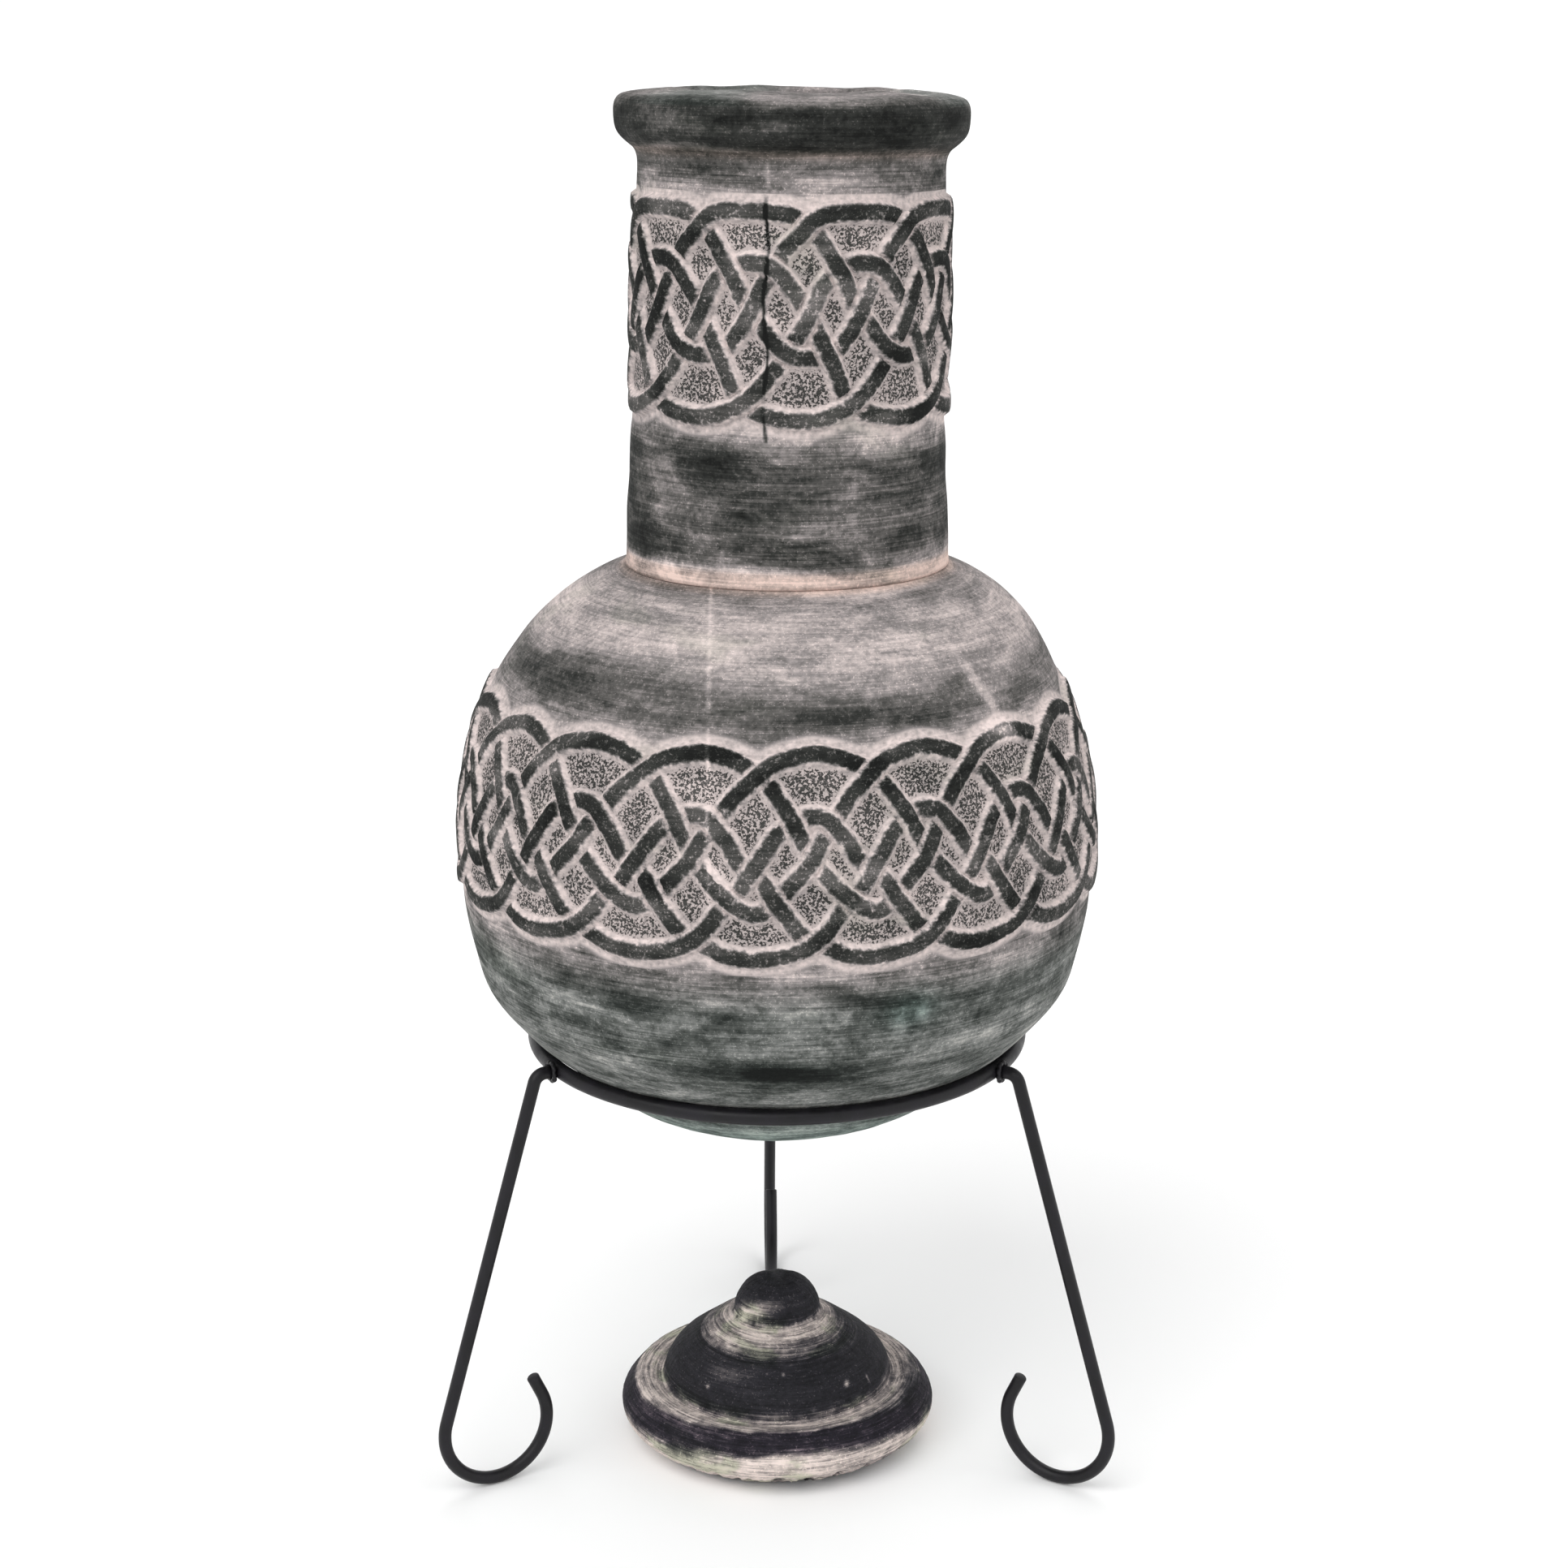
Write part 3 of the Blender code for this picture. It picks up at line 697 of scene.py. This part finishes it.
def make_belly(material):
    turned = Turned(BELLY_COLUMNS)
    high, low = BELLY_BAND_W[1] + BELLY_MARGIN, BELLY_BAND_W[0] - BELLY_MARGIN
    inner = smooth_line(BELLY_INNER, 0.006)
    outer = spaced(BELLY_OUTER, [(9, 3.0 * MM), (high, 1.7 * MM), (low, 5.0 * MM)])
    first = int((outer[:, 1] > high).sum())
    last = int((outer[:, 1] > low).sum())
    turned.add([(0.012, 0.2842)], 24)
    turned.add(inner, 4)
    turned.add(outer[:first], 2)
    turned.add(outer[first:last], 1)
    turned.add(outer[last:], 4)
    turned.add([(0.03, BASE_Z), (0.012, BASE_Z)], 24)
    azimuth, radius, height, row = turned.arrays()
    is_outer = row > len(inner)
    band_rows = (len(inner) + 1 + first, len(inner) + 1 + last)
    fields, normal, along = band_fields(turned, band_rows, BELLY_STRANDS, BELLY_CROSSINGS, BELLY_PITCH,
                                        BELLY_BAND_W, belly_to_u, azimuth, row)
    wobble = waves(3, 26, 9, 0.14)(azimuth, height) * 0.5 * MM
    wobble = wobble + waves(4, 40, 40, 0.03)(azimuth, height) * 0.15 * MM
    settle = smoothstep(BASE_Z, BASE_Z + 0.02, height) * smoothstep(0, 0.003, JOINT_Z - height)
    x = placed(azimuth, radius, height)[:, 0]
    reach = mouth_reach(x, height)
    at_mouth = (np.abs(azimuth) > math.pi / 2) & (reach < 3)
    fade = np.where(at_mouth, smoothstep(1.05, 1.24, reach), 1.0)
    smear = bump_at(azimuth, height, (-9.6, 0.530), (1.5, 0.009), 0.9) * is_outer
    seam_off = (x - BELLY_SEAM_X) / MM + 0.5 * waves(11, 6, 0, 0.07)(0 * height, height)
    seam = np.exp(-(seam_off / 1.2) ** 2) * smoothstep(0.34, 0.44, height) * is_outer * (np.cos(azimuth) > 0)
    seam = seam * (0.65 + 0.35 * waves(12, 9, 0, 0.03)(0 * height, height))
    relief = BELLY_RELIEF * fields["height"] * fade * (1 - 0.7 * smear)
    out = relief + (wobble + seam * 0.5 * MM) * settle
    tone = tone_by_height(height + 0.006 * waves(22, 14, 5, 0.4)(azimuth, height), BELLY_TONES)
    tone = tone + 0.05 * waves(21, 10, 3, 0.05)(azimuth, height)
    tone = tone + 0.1 * smoothstep(1.34, 1.16, reach) * at_mouth
    above_mouth = smoothstep(0.8, 2.4, (height - MOUTH_Z) / MOUTH_HALF_HEIGHT) * smoothstep(2.5, 1.2, reach)
    soot = 0.65 * at_mouth * above_mouth * np.exp(-(x / 0.10) ** 2)
    strand = np.maximum(fields["strand"], np.where(smear > 0.45, 2.0, -9))
    marks = marks_at(azimuth, height, BELLY_MARKS) * is_outer
    teal = 0.6 * smoothstep(0.335, 0.275, height) + 0.5 * smoothstep(0.46, 0.42, height)
    teal = teal + 0.7 * bump_at(azimuth, height, (23.5, 0.424), (5, 0.014))
    values = {
        "strand": np.where(at_mouth & (fade < 0.5), 8.0, strand), "edge": fields["edge"] + 12 * (1 - fade),
        "inside": fields["inside"] * fade, "tone": np.where(is_outer, tone, 0.3), "along": along[row],
        # Wear from the seam, the smear and the marks, plus painted light on the knotwork: upper flanks
        # lighter, lower flanks darker.
        "wear_and_painted_light": 0.30 * seam * smoothstep(0.40, 0.60, height) + 0.12 * smear + marks + 0.10 * fields["painted_flank_light"],
        "teal": np.clip(teal, 0, 1),
        "soot": np.where(is_outer, soot, 1.0), "warm": smoothstep(0.700, 0.703, height) * is_outer,
        "calm": 0.35 * smoothstep(0.615, 0.64, height),
    }
    verts = placed(azimuth, radius + normal[row, 0] * out, height + normal[row, 1] * out)
    verts, faces, values = turned.capped(verts, values)
    mesh = mesh_of("belly_painted", verts, faces, values)
    open_mouth(mesh)
    belly = new_object("belly_painted", mesh)
    finish_piece(belly, "chiminea", "painted_clay", material, "belly")


def open_mouth(mesh):
    """Cuts the mouth through the wall, draws both edges onto its outline and joins them."""
    work = bmesh.new()
    work.from_mesh(mesh)
    gone = [f for f in work.faces if f.calc_center_median().y > 0.08
            and mouth_reach(f.calc_center_median().x, f.calc_center_median().z) < 1.0]
    bmesh.ops.delete(work, geom=gone, context="FACES")
    rims = [e for e in work.edges if e.is_boundary and e.verts[0].co.y > 0.08
            and mouth_reach(e.verts[0].co.x, e.verts[0].co.z) < 1.2]
    for vert in {v for e in rims for v in e.verts}:
        reach = float(mouth_reach(vert.co.x, vert.co.z))
        x, z = vert.co.x / reach, MOUTH_Z + (vert.co.z - MOUTH_Z) / reach
        out = math.hypot(vert.co.x, vert.co.y - AXIS_Y)
        vert.co = (x, AXIS_Y + math.sqrt(max(0.0, out * out - x * x)), z)
    bmesh.ops.bridge_loops(work, edges=rims)
    loose = [v for v in work.verts if not v.link_faces]
    bmesh.ops.delete(work, geom=loose, context="VERTS")
    bmesh.ops.recalc_face_normals(work, faces=work.faces)
    work.to_mesh(mesh)
    work.free()
    mesh.shade_smooth()


# ------------------------ the neck
NECK_OUTER = [                             # crest to joint, under the knotwork
    (0.0905, RIM_Z), (0.1, 1.0492), (0.112, 1.048), (0.1195, 1.0468), (0.125, 1.045),
    (0.128, 1.0418), (0.1294, 1.037), (0.1294, 1.029), (0.1284, 1.0225), (0.1262, 1.018),
    (0.1225, 1.014), (0.119, 1.011), (0.1155, 1.008), (0.1133, 1.003), (0.1127, 0.996),
    (0.1132, 0.98), (0.1136, 0.96), (0.1146, 0.89), (0.116, 0.82), (0.1172, 0.805),
    (0.1179, 0.795), (0.1183, 0.772), (0.1202, 0.748), (0.1212, 0.72),
    (0.1216, 0.71), (0.1222, JOINT_Z),
]
NECK_INNER = [
    (0.1015, JOINT_Z), (0.0985, 0.8), (0.0945, 0.99), (0.0915, 1.02), (0.085, 1.038),
    (0.083, 1.0455), (0.0845, 1.049), (0.0875, RIM_Z + 0.2 * MM), (0.0903, RIM_Z + 0.05 * MM),
]


def make_neck(material):
    turned = Turned(NECK_COLUMNS)
    high, low = NECK_BAND_W[1] + NECK_MARGINS[1], NECK_BAND_W[0] - NECK_MARGINS[0]
    outer = spaced(NECK_OUTER, [(9, 1.6 * MM), (high, 1.6 * MM), (low, 2.6 * MM)])
    first = int((outer[:, 1] > high).sum())
    last = int((outer[:, 1] > low).sum())
    turned.add(outer[:first], 2)
    turned.add(outer[first:last], 1)
    turned.add(outer[last:], 2)
    turned.add(smooth_line(NECK_INNER, 0.005), 6)
    azimuth, radius, height, row = turned.arrays()
    fields, normal, along = band_fields(turned, (first, last), NECK_STRANDS, NECK_CROSSINGS, NECK_PITCH,
                                        NECK_BAND_W, neck_to_u, azimuth, row)
    is_outer = row < len(outer)
    settle = smoothstep(0, 0.003, height - JOINT_Z)
    wobble = waves(13, 24, 7, 0.12)(azimuth, height) * 0.5 * MM
    wobble = wobble + waves(14, 40, 24, 0.03)(azimuth, height) * 0.16 * MM
    wobble = wobble + smoothstep(1.010, 1.030, height) * waves(15, 14, 12, 9.0)(azimuth, height) * 0.5 * MM
    wander = NECK_SEAM_AZIMUTH + 0.011 * waves(31, 9, 0, 0.06)(0 * height, height)
    seam_off = (azimuth - wander) * radius / MM
    ends = smoothstep(0.795, 0.825, height) * smoothstep(0.988, 0.972, height) * is_outer
    deep = np.clip(0.75 + 0.6 * waves(32, 12, 0, 0.035)(0 * height, height), 0.15, 1.0)
    crack = np.exp(-(seam_off / 0.95) ** 2) * ends * deep
    above_band = smoothstep(0.975, 0.985, height) * smoothstep(1.006, 1.000, height)
    ridge = np.exp(-(seam_off / 1.2) ** 2) * above_band
    pit = bump_at(azimuth, height, (-16.0, 0.7585), (1.0, 0.0020))
    out = NECK_RELIEF * fields["height"] + wobble * settle
    out = out + (0.4 * ridge * is_outer - 1.0 * crack - 1.2 * pit) * MM
    tone = tone_by_height(height + 0.004 * waves(23, 12, 5, 0.4)(azimuth, height) * settle, NECK_TONES)
    tone = tone + 0.05 * waves(24, 10, 4, 0.05)(azimuth, height)
    crest = height > 1.044
    marks = marks_at(azimuth, height, NECK_MARKS) * is_outer
    inner_soot = np.where(crest, 0.0, 0.55 + 0.4 * smoothstep(1.045, 0.95, height))
    warm = smoothstep(0.7190, 0.714, height) + bump_at(0 * azimuth, height, (0, 1.0085), (1, 0.004))
    values = {
        "strand": fields["strand"], "edge": fields["edge"], "inside": fields["inside"], "along": along[row],
        "tone": np.where(is_outer, tone, np.where(crest, 0.55, 0.3)),
        # Wear from the marks and the seam's ridge, plus painted light on the knotwork, upper flanks lighter
        # and lower flanks darker; the crack and the pit are painted darker.
        "wear_and_painted_light": marks + 0.10 * fields["painted_flank_light"] + 0.2 * ridge - 0.95 * crack - 0.3 * pit,
        "teal": 0.45 * (height > 1.040) * smoothstep(-0.4, 0.5, waves(25, 8, 4, 9.0)(azimuth, height)),
        "soot": np.where(is_outer, 0.0, inner_soot), "warm": np.clip(warm, 0, 1) * is_outer,
        "calm": 0.3 * (height > 1.0),
    }
    verts = placed(azimuth, radius + normal[row, 0] * out, height + normal[row, 1] * out)
    turned.stitch(turned.rows[-1], turned.rows[0][:2])
    neck = new_object("neck_painted", mesh_of("neck_painted", verts, turned.faces, values))
    finish_piece(neck, "chiminea", "painted_clay", material, "neck")


# ------------------------ swept rods and rolls
def swept(path, radii, sides, closed=False, squash=None):
    """Vertices and faces of a tube along a path, with flat capped ends unless it is closed."""
    points = [Vector(p) for p in path]
    count = len(points)
    tangents = []
    for i in range(count):
        ahead = points[(i + 1) % count] if closed or i + 1 < count else points[i]
        behind = points[i - 1] if closed or i > 0 else points[i]
        tangents.append((ahead - behind).normalized())
    side = tangents[0].cross(Vector((0, 0, 1)))
    if side.length < 1e-4:
        side = tangents[0].cross(Vector((1, 0, 0)))
    side.normalize()
    verts, faces = [], []
    for i, (point, tangent) in enumerate(zip(points, tangents)):
        side = (side - tangent * side.dot(tangent)).normalized()
        other = tangent.cross(side)
        for j in range(sides):
            a = 2 * math.pi * j / sides
            radius = radii[i] * (squash(i, a) if squash else 1.0)
            verts.append(point + side * (math.cos(a) * radius) + other * (math.sin(a) * radius))
    rings = count if closed else count - 1
    for i in range(rings):
        a, b = i * sides, ((i + 1) % count) * sides
        for j in range(sides):
            k = (j + 1) % sides
            faces.append((a + j, a + k, b + k, b + j))
    if not closed:
        faces.append(tuple(reversed(range(sides))))
        faces.append(tuple(range((count - 1) * sides, count * sides)))
    return verts, faces


def chamfered(path, radius, bevel=0.0008):
    """The path and radii of a rod whose cut ends have a small worn bevel."""
    points = [Vector(p) for p in path]
    start = (points[1] - points[0]).normalized()
    end = (points[-2] - points[-1]).normalized()
    path = [points[0], points[0] + start * bevel * 0.4, points[0] + start * bevel, *points[1:-1],
            points[-1] + end * bevel, points[-1] + end * bevel * 0.4, points[-1]]
    cut = [radius - bevel, radius - bevel * 0.35]
    return path, [*cut, *[radius] * len(points), *cut[::-1]]


def closed_mesh(name, verts, faces, attributes=None):
    mesh = mesh_of(name, verts, faces, attributes)
    work = bmesh.new()
    work.from_mesh(mesh)
    bmesh.ops.recalc_face_normals(work, faces=work.faces)
    work.to_mesh(mesh)
    work.free()
    mesh.shade_smooth()
    return mesh


def make_lip(material):
    """The roll of clay round the mouth, pressed on by hand."""
    count, sides = 220, 28
    outer = np.array(BELLY_OUTER)[::-1]
    press = waves(41, 16, 16, 9.0)
    angles = [2 * math.pi * i / count for i in range(count)]
    path, radii = [], []
    for a in angles:
        x = MOUTH_HALF_WIDTH * math.cos(a)
        z = MOUTH_Z + MOUTH_HALF_HEIGHT * math.sin(a)
        reach = float(np.interp(z, outer[:, 1], outer[:, 0])) + 3.6 * MM
        path.append((x, AXIS_Y + math.sqrt(reach * reach - x * x), z))
        radii.append(MOUTH_ROLL * (0.965 + 0.045 * float(press(a, 0.0))))
    small = waves(42, 20, 40, 9.0)

    def squash(i, a):
        return 1.0 + 0.03 * float(small(angles[i], 3.0 * a))

    verts, faces = swept(path, radii, sides, True, squash)
    co = np.array([v[:] for v in verts])
    rise = np.hypot(co[:, 0], co[:, 1] - AXIS_Y) - np.interp(co[:, 2], outer[:, 1], outer[:, 0])
    worn = smoothstep(8 * MM, 15 * MM, rise)
    within = smoothstep(1.02, 0.90, mouth_reach(co[:, 0], co[:, 2]))
    at_top = smoothstep(0.3, 1.0, (co[:, 2] - MOUTH_Z) / MOUTH_HALF_HEIGHT)
    none = np.zeros(len(co))
    values = {
        "strand": none + 8, "edge": none + 12, "inside": none, "tone": 0.32 + 0.30 * worn, "wear_and_painted_light": none,
        "teal": none, "warm": none, "calm": none + 0.3, "along": -co[:, 2],
        "soot": 0.85 * within + 0.3 * at_top * (1 - worn),
    }
    lip = new_object("mouth_lip_painted", closed_mesh("mouth_lip_painted", verts, faces, values))
    finish_piece(lip, "chiminea", "painted_clay", material, "mouth_lip")


# ------------------------ the lid
LID_COLUMNS = 480
LID_OUTER = [
    (0.004, LID_TOP), (0.011, 0.1292), (0.019, 0.1265), (0.0265, 0.1212), (0.0315, 0.1145),
    (0.0338, 0.108), (0.0342, 0.1042), (0.0362, 0.1008), (0.0415, 0.0975), (0.05, 0.093),
    (0.064, 0.0828), (0.0755, 0.0742), (0.083, 0.0665), (0.0878, 0.059), (0.0902, 0.053),
    (0.0912, 0.049), (0.093, 0.0468), (0.097, 0.0468), (0.103, 0.0478), (0.109, 0.047),
    (0.115, 0.0435), (0.1205, 0.0375), (0.124, 0.0325), (0.1252, 0.0285), (0.1247, 0.023),
    (0.1218, 0.0165), (0.116, 0.0105), (0.109, 0.006), (0.103, 0.0024), (0.0975, 0.0004),
]
LID_UNDER = [
    (0.09, 0.0003), (0.0862, 0.003), (0.084, 0.02), (0.078, 0.042), (0.066, 0.06),
    (0.042, 0.076), (0.006, 0.0858),
]
# Tones along the lid's line, from the crown: knob, collar, dome, its foot, flange, its dark edge, rim.
LID_TONES = [
    (0.0, 0.1), (0.038, 0.1), (0.044, 0.22), (0.047, 0.66), (0.054, 0.72), (0.06, 0.52), (0.072, 0.34),
    (0.08, 0.1), (0.118, 0.08), (0.123, 0.26), (0.127, 0.56), (0.132, 0.74), (0.144, 0.66), (0.15, 0.54),
    (0.154, 0.2), (0.169, 0.16), (0.174, 0.52), (0.179, 0.82), (0.206, 0.8), (0.216, 0.45),
]
# Rubbed patches and flecks: azimuth, place along the line, size round (degrees), size along, tilt, change.
LID_MARKS = [
    (-38.0, 0.038, 26.0, 9 * MM, 0.7, 0.85), (-45.0, 0.068, 40.0, 10 * MM, 0.2, 0.34),
    (95.0, 0.067, 55.0, 9 * MM, 0.0, -0.36),
    (-30.0, 0.095, 16.0, 8 * MM, 0.5, 0.2), (70.0, 0.065, 30.0, 6 * MM, -0.3, 0.3),
    (12.0, 0.163, 17.0, 6 * MM, 0.0, 0.22), (-70.0, 0.144, 40.0, 9 * MM, 0.0, 0.16),
    (75.0, 0.146, 36.0, 9 * MM, 0.1, -0.26), (52.0, 0.19, 16.0, 8 * MM, 0.2, -0.36),
    (-100.0, 0.186, 14.0, 8 * MM, 0.2, -0.3), (150.0, 0.19, 20.0, 9 * MM, 0.1, -0.28),
    (41.0, 0.106, 1.8, 2.4 * MM, 0.4, 0.7), (57.0, 0.11, 0.9, 4.5 * MM, 0.3, 0.5),
    (4.0, 0.089, 1.2, 1.6 * MM, 0.0, 0.5), (-40.0, 0.108, 1.3, 1.7 * MM, 0.0, 0.5),
    (118.0, 0.102, 1.6, 2.0 * MM, 0.0, 0.55), (-150.0, 0.094, 1.4, 1.8 * MM, 0.0, 0.5),
]


def make_lid(material):
    turned = Turned(LID_COLUMNS)
    outer = smooth_line(LID_OUTER, 0.0015)
    turned.add(outer)
    turned.add(smooth_line(LID_UNDER, 0.005), 4)
    azimuth, radius, height, row = turned.arrays()
    is_outer = row < len(outer)
    normal, along = turned.row_normals()
    along = along[row]
    ragged = waves(51, 60, 110, 0.014)(azimuth, height) + 0.7 * waves(56, 40, 40, 0.03)(azimuth, height)
    chips = smoothstep(0.30, 0.75, waves(52, 40, 34, 0.02)(azimuth, height))
    rim = smoothstep(0.178, 0.192, along) * is_outer
    out = 0.45 * MM * waves(53, 22, 9, 0.06)(azimuth, height) + 0.14 * MM * ragged
    out = out + smoothstep(0.048, 0.040, along) * 0.7 * MM * waves(54, 10, 5, 0.04)(azimuth, height)
    out = out - rim * (1.5 * MM * np.abs(ragged) + 2.6 * MM * chips)
    out = out * np.where(is_outer, 1.0, 0.5) * smoothstep(0.0, 0.012, radius)
    radius = np.maximum(radius + normal[row, 0] * out, 0.001)
    height_now = np.clip(height + normal[row, 1] * out, 0.3 * height + 0.2 * MM, LID_TOP)
    slide = 1.6 * MM * waves(55, 26, 16, 0.4)(azimuth, height)
    slide = slide + 1.0 * MM * waves(57, 30, 60, 0.02)(azimuth, height)
    slide = slide + 11 * MM * np.exp(-((np.degrees(azimuth) - 8) / 55) ** 2) * smoothstep(0.132, 0.145, along)
    tone = np.interp(along + slide, *zip(*LID_TONES)) - 0.35 * chips * rim
    dark = smoothstep(0.078, 0.086, along) * smoothstep(0.122, 0.114, along) + smoothstep(0.044, 0.038, along)
    flange = smoothstep(0.150, 0.156, along + slide) * smoothstep(0.174, 0.168, along + slide)
    marks = np.clip(marks_at(azimuth, along, LID_MARKS), -1, 1)
    values = {
        "tone": np.where(is_outer, tone, 0.4), "along": along, "wear_and_painted_light": marks * is_outer,
        "calm": np.clip(dark + 0.4 * flange - 2 * np.abs(marks), 0, 1), "hue": flange * is_outer,
        "soot": np.where(is_outer, 0.0, 0.75),
    }
    verts = placed(azimuth, radius, height_now, False) + np.array([0, LID_Y - AXIS_Y, 0])
    verts, faces, values = turned.capped(verts, values)
    lid = new_object("lid_painted", mesh_of("lid_painted", verts, faces, values))
    finish_piece(lid, "lid", "lid_clay", material, "lid")


# ------------------------ the stand
RING_STEPS = 360
LEG_AZIMUTHS = {"front_left": -60.0, "front_right": 60.0, "back": 181.5}
LEG_ROD = 5 * MM
LEG_BEND_RADIUS = 9 * MM
STUB_CORNER = RING_RADIUS + 19.5 * MM
LEG_SPLAY = math.radians(17.0)
SCROLL_RADIUS = 43 * MM
SCROLL_END = math.radians(205.0)
SCROLL_TAIL = {"front_left": 17 * MM, "front_right": 17 * MM, "back": 30 * MM}
LEG_FOOT_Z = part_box("leg_back")[0].z + SCROLL_RADIUS + LEG_ROD
SCROLL_RHO = STUB_CORNER + (math.sin(LEG_SPLAY) * (RING_Z - LEG_FOOT_Z) - SCROLL_RADIUS) / math.cos(LEG_SPLAY)


def arc(centre, radius, start, stop, count):
    """Points (rho, z) on an arc, with angles that grow from outward to down."""
    angles = [start + (stop - start) * i / count for i in range(count + 1)]
    return [(centre[0] + radius * math.cos(a), centre[1] - radius * math.sin(a)) for a in angles]


def turned_out(azimuth, rho, aside, z):
    """A point at rho from the clay's axis in a leg's upright plane, aside from it by some distance."""
    a = math.radians(azimuth)
    out, across = Vector((math.sin(a), -math.cos(a), 0)), Vector((math.cos(a), math.sin(a), 0))
    return Vector((0, AXIS_Y, z)) + out * rho + across * aside


def leg_line(tail):
    turn = math.pi / 2 - LEG_SPLAY
    setback = LEG_BEND_RADIUS * math.tan(turn / 2)
    middle = (STUB_CORNER - setback, RING_Z - LEG_BEND_RADIUS)
    bend = arc(middle, LEG_BEND_RADIUS, -math.pi / 2, -LEG_SPLAY, 14)
    scroll = arc((SCROLL_RHO, LEG_FOOT_Z), SCROLL_RADIUS, -LEG_SPLAY, SCROLL_END, 72)
    rho, z = scroll[-1]
    top, foot = np.array(bend[-1]), np.array(scroll[0])
    stem = [tuple(top * (1 - t) + foot * t) for t in np.linspace(0, 1, 40)[1:-1]]
    back, down = tail * math.sin(SCROLL_END), tail * math.cos(SCROLL_END)
    end = [(rho - back * t, z - down * t) for t in (0.25, 0.5, 0.75, 1)]
    start = (RING_RADIUS + RING_ROD + GAP, RING_Z)
    return [start, *bend, *stem, *scroll, *end]


def make_stand(material):
    rough = waves(61, 24, 60, 9.0)
    turns = range(RING_STEPS)
    ring_path = [turned_out(360 * i / RING_STEPS, RING_RADIUS, 0, RING_Z) for i in turns]
    ring_radii = [RING_ROD * (1 + 0.006 * float(rough(2 * math.pi * i / RING_STEPS, 0.0))) for i in turns]
    verts, faces = swept(ring_path, ring_radii, 24, True)
    ring = new_object("stand_ring_iron", closed_mesh("stand_ring_iron", verts, faces))
    finish_piece(ring, "stand", "black_iron", material, "stand_ring")
    for name, azimuth in LEG_AZIMUTHS.items():
        line = [turned_out(azimuth, rho, 0, z) for rho, z in leg_line(SCROLL_TAIL[name])]
        path, radii = chamfered(line, LEG_ROD)
        verts, faces = swept(path, radii, 20)
        leg = new_object(f"leg_{name}_iron", closed_mesh(f"leg_{name}_iron", verts, faces))
        finish_piece(leg, "stand", "black_iron", material, f"leg_{name}")
        make_weld(name, azimuth, material)


def make_weld(name, azimuth, material):
    """A rippled bead of weld round the stub, against the ring's outer side."""
    ripple = waves(70 + len(name), 8, 9, 9.0)
    count, ripples = 72, 9
    bead_rho = RING_RADIUS + RING_ROD + 1.5 * MM + GAP
    path, radii = [], []
    for i in range(count):
        a = 2 * math.pi * i / count
        lift = LEG_ROD + 1.7 * MM + 0.25 * MM * math.cos(ripples * a)
        aside, up = lift * math.cos(a), lift * math.sin(a)
        path.append(turned_out(azimuth, bead_rho - 0.18 * abs(up), aside, RING_Z + up))
        radii.append(1.9 * MM * (1 + 0.14 * math.cos(ripples * a + 0.6) + 0.10 * float(ripple(a, 0.0))))
    verts, faces = swept(path, radii, 14, True)
    weld = new_object(f"weld_{name}_iron", closed_mesh(f"weld_{name}_iron", verts, faces))
    finish_piece(weld, "stand", "black_iron", material, f"weld_{name}")


# ------------------------ floor, light and camera
CAMERA_DISTANCE = 2.0852
CAMERA_HEIGHT = 1.0977
CAMERA_ASIDE = 5.6 * MM
CAMERA_PITCH = math.radians(15.258)
LENS = 64.25
SKY = 0.66                                 # the overhead light against white
FLOOR_HALF = 60.0                          # far enough to reach the horizon


def make_floor():
    mesh = bpy.data.meshes.new("floor")
    work = bmesh.new()
    bmesh.ops.create_grid(work, x_segments=1, y_segments=1, size=FLOOR_HALF)
    work.to_mesh(mesh)
    work.free()
    s = Shader("floor")
    s.surface(srgb(253, 253, 253), 0.95, 0.0, 0.05)
    floor = new_object("floor", mesh)
    floor.data.materials.append(s.material)


def make_sun(name, towards, strength, softness):
    """A soft light from far off, so that the floor is as bright at the horizon as here."""
    light = bpy.data.lights.new(name, "SUN")
    light.energy = strength
    light.angle = math.radians(softness)
    sun = new_object(name, light)
    sun.rotation_euler = Vector(towards).to_track_quat("-Z", "Y").to_euler()


def make_world():
    """A white studio: full white round the horizon, softer overhead."""
    world = bpy.data.worlds.new("studio")
    bpy.context.scene.world = world
    world.use_nodes = True
    nodes, links = world.node_tree.nodes, world.node_tree.links
    direction = nodes.new("ShaderNodeTexCoord").outputs["Generated"]
    split = nodes.new("ShaderNodeSeparateXYZ")
    links.new(direction, split.inputs[0])
    height = nodes.new("ShaderNodeMapRange")
    height.interpolation_type = "SMOOTHSTEP"
    for name, number in (("From Min", 0.10), ("From Max", 0.40), ("To Min", 1.04), ("To Max", SKY)):
        height.inputs[name].default_value = number
    links.new(split.outputs[2], height.inputs["Value"])
    nodes["Background"].inputs["Color"].default_value = (1.0, 1.0, 1.0, 1.0)
    links.new(height.outputs[0], nodes["Background"].inputs["Strength"])


def make_camera():
    camera = bpy.data.cameras.new("camera")
    camera.lens = LENS
    camera.sensor_width = 36.0
    obj = new_object("camera", camera)
    obj.location = (CAMERA_ASIDE, AXIS_Y - CAMERA_DISTANCE, CAMERA_HEIGHT)
    obj.rotation_euler = (math.pi / 2 - CAMERA_PITCH, 0, 0)
    bpy.context.scene.camera = obj


def main():
    bpy.context.scene.view_settings.view_transform = "Standard"
    make_floor()
    make_world()
    make_sun("key", (1.3, 1.9, -2.6), 1.40, 55)
    make_sun("fill", (-2.0, 0.9, -1.6), 0.40, 60)
    make_sun("back", (-0.3, -2.0, -1.8), 0.50, 60)
    make_camera()
    clay = painted_clay()
    make_belly(clay)
    make_neck(clay)
    make_lip(clay)
    make_lid(lid_clay())
    make_stand(black_iron())


main()
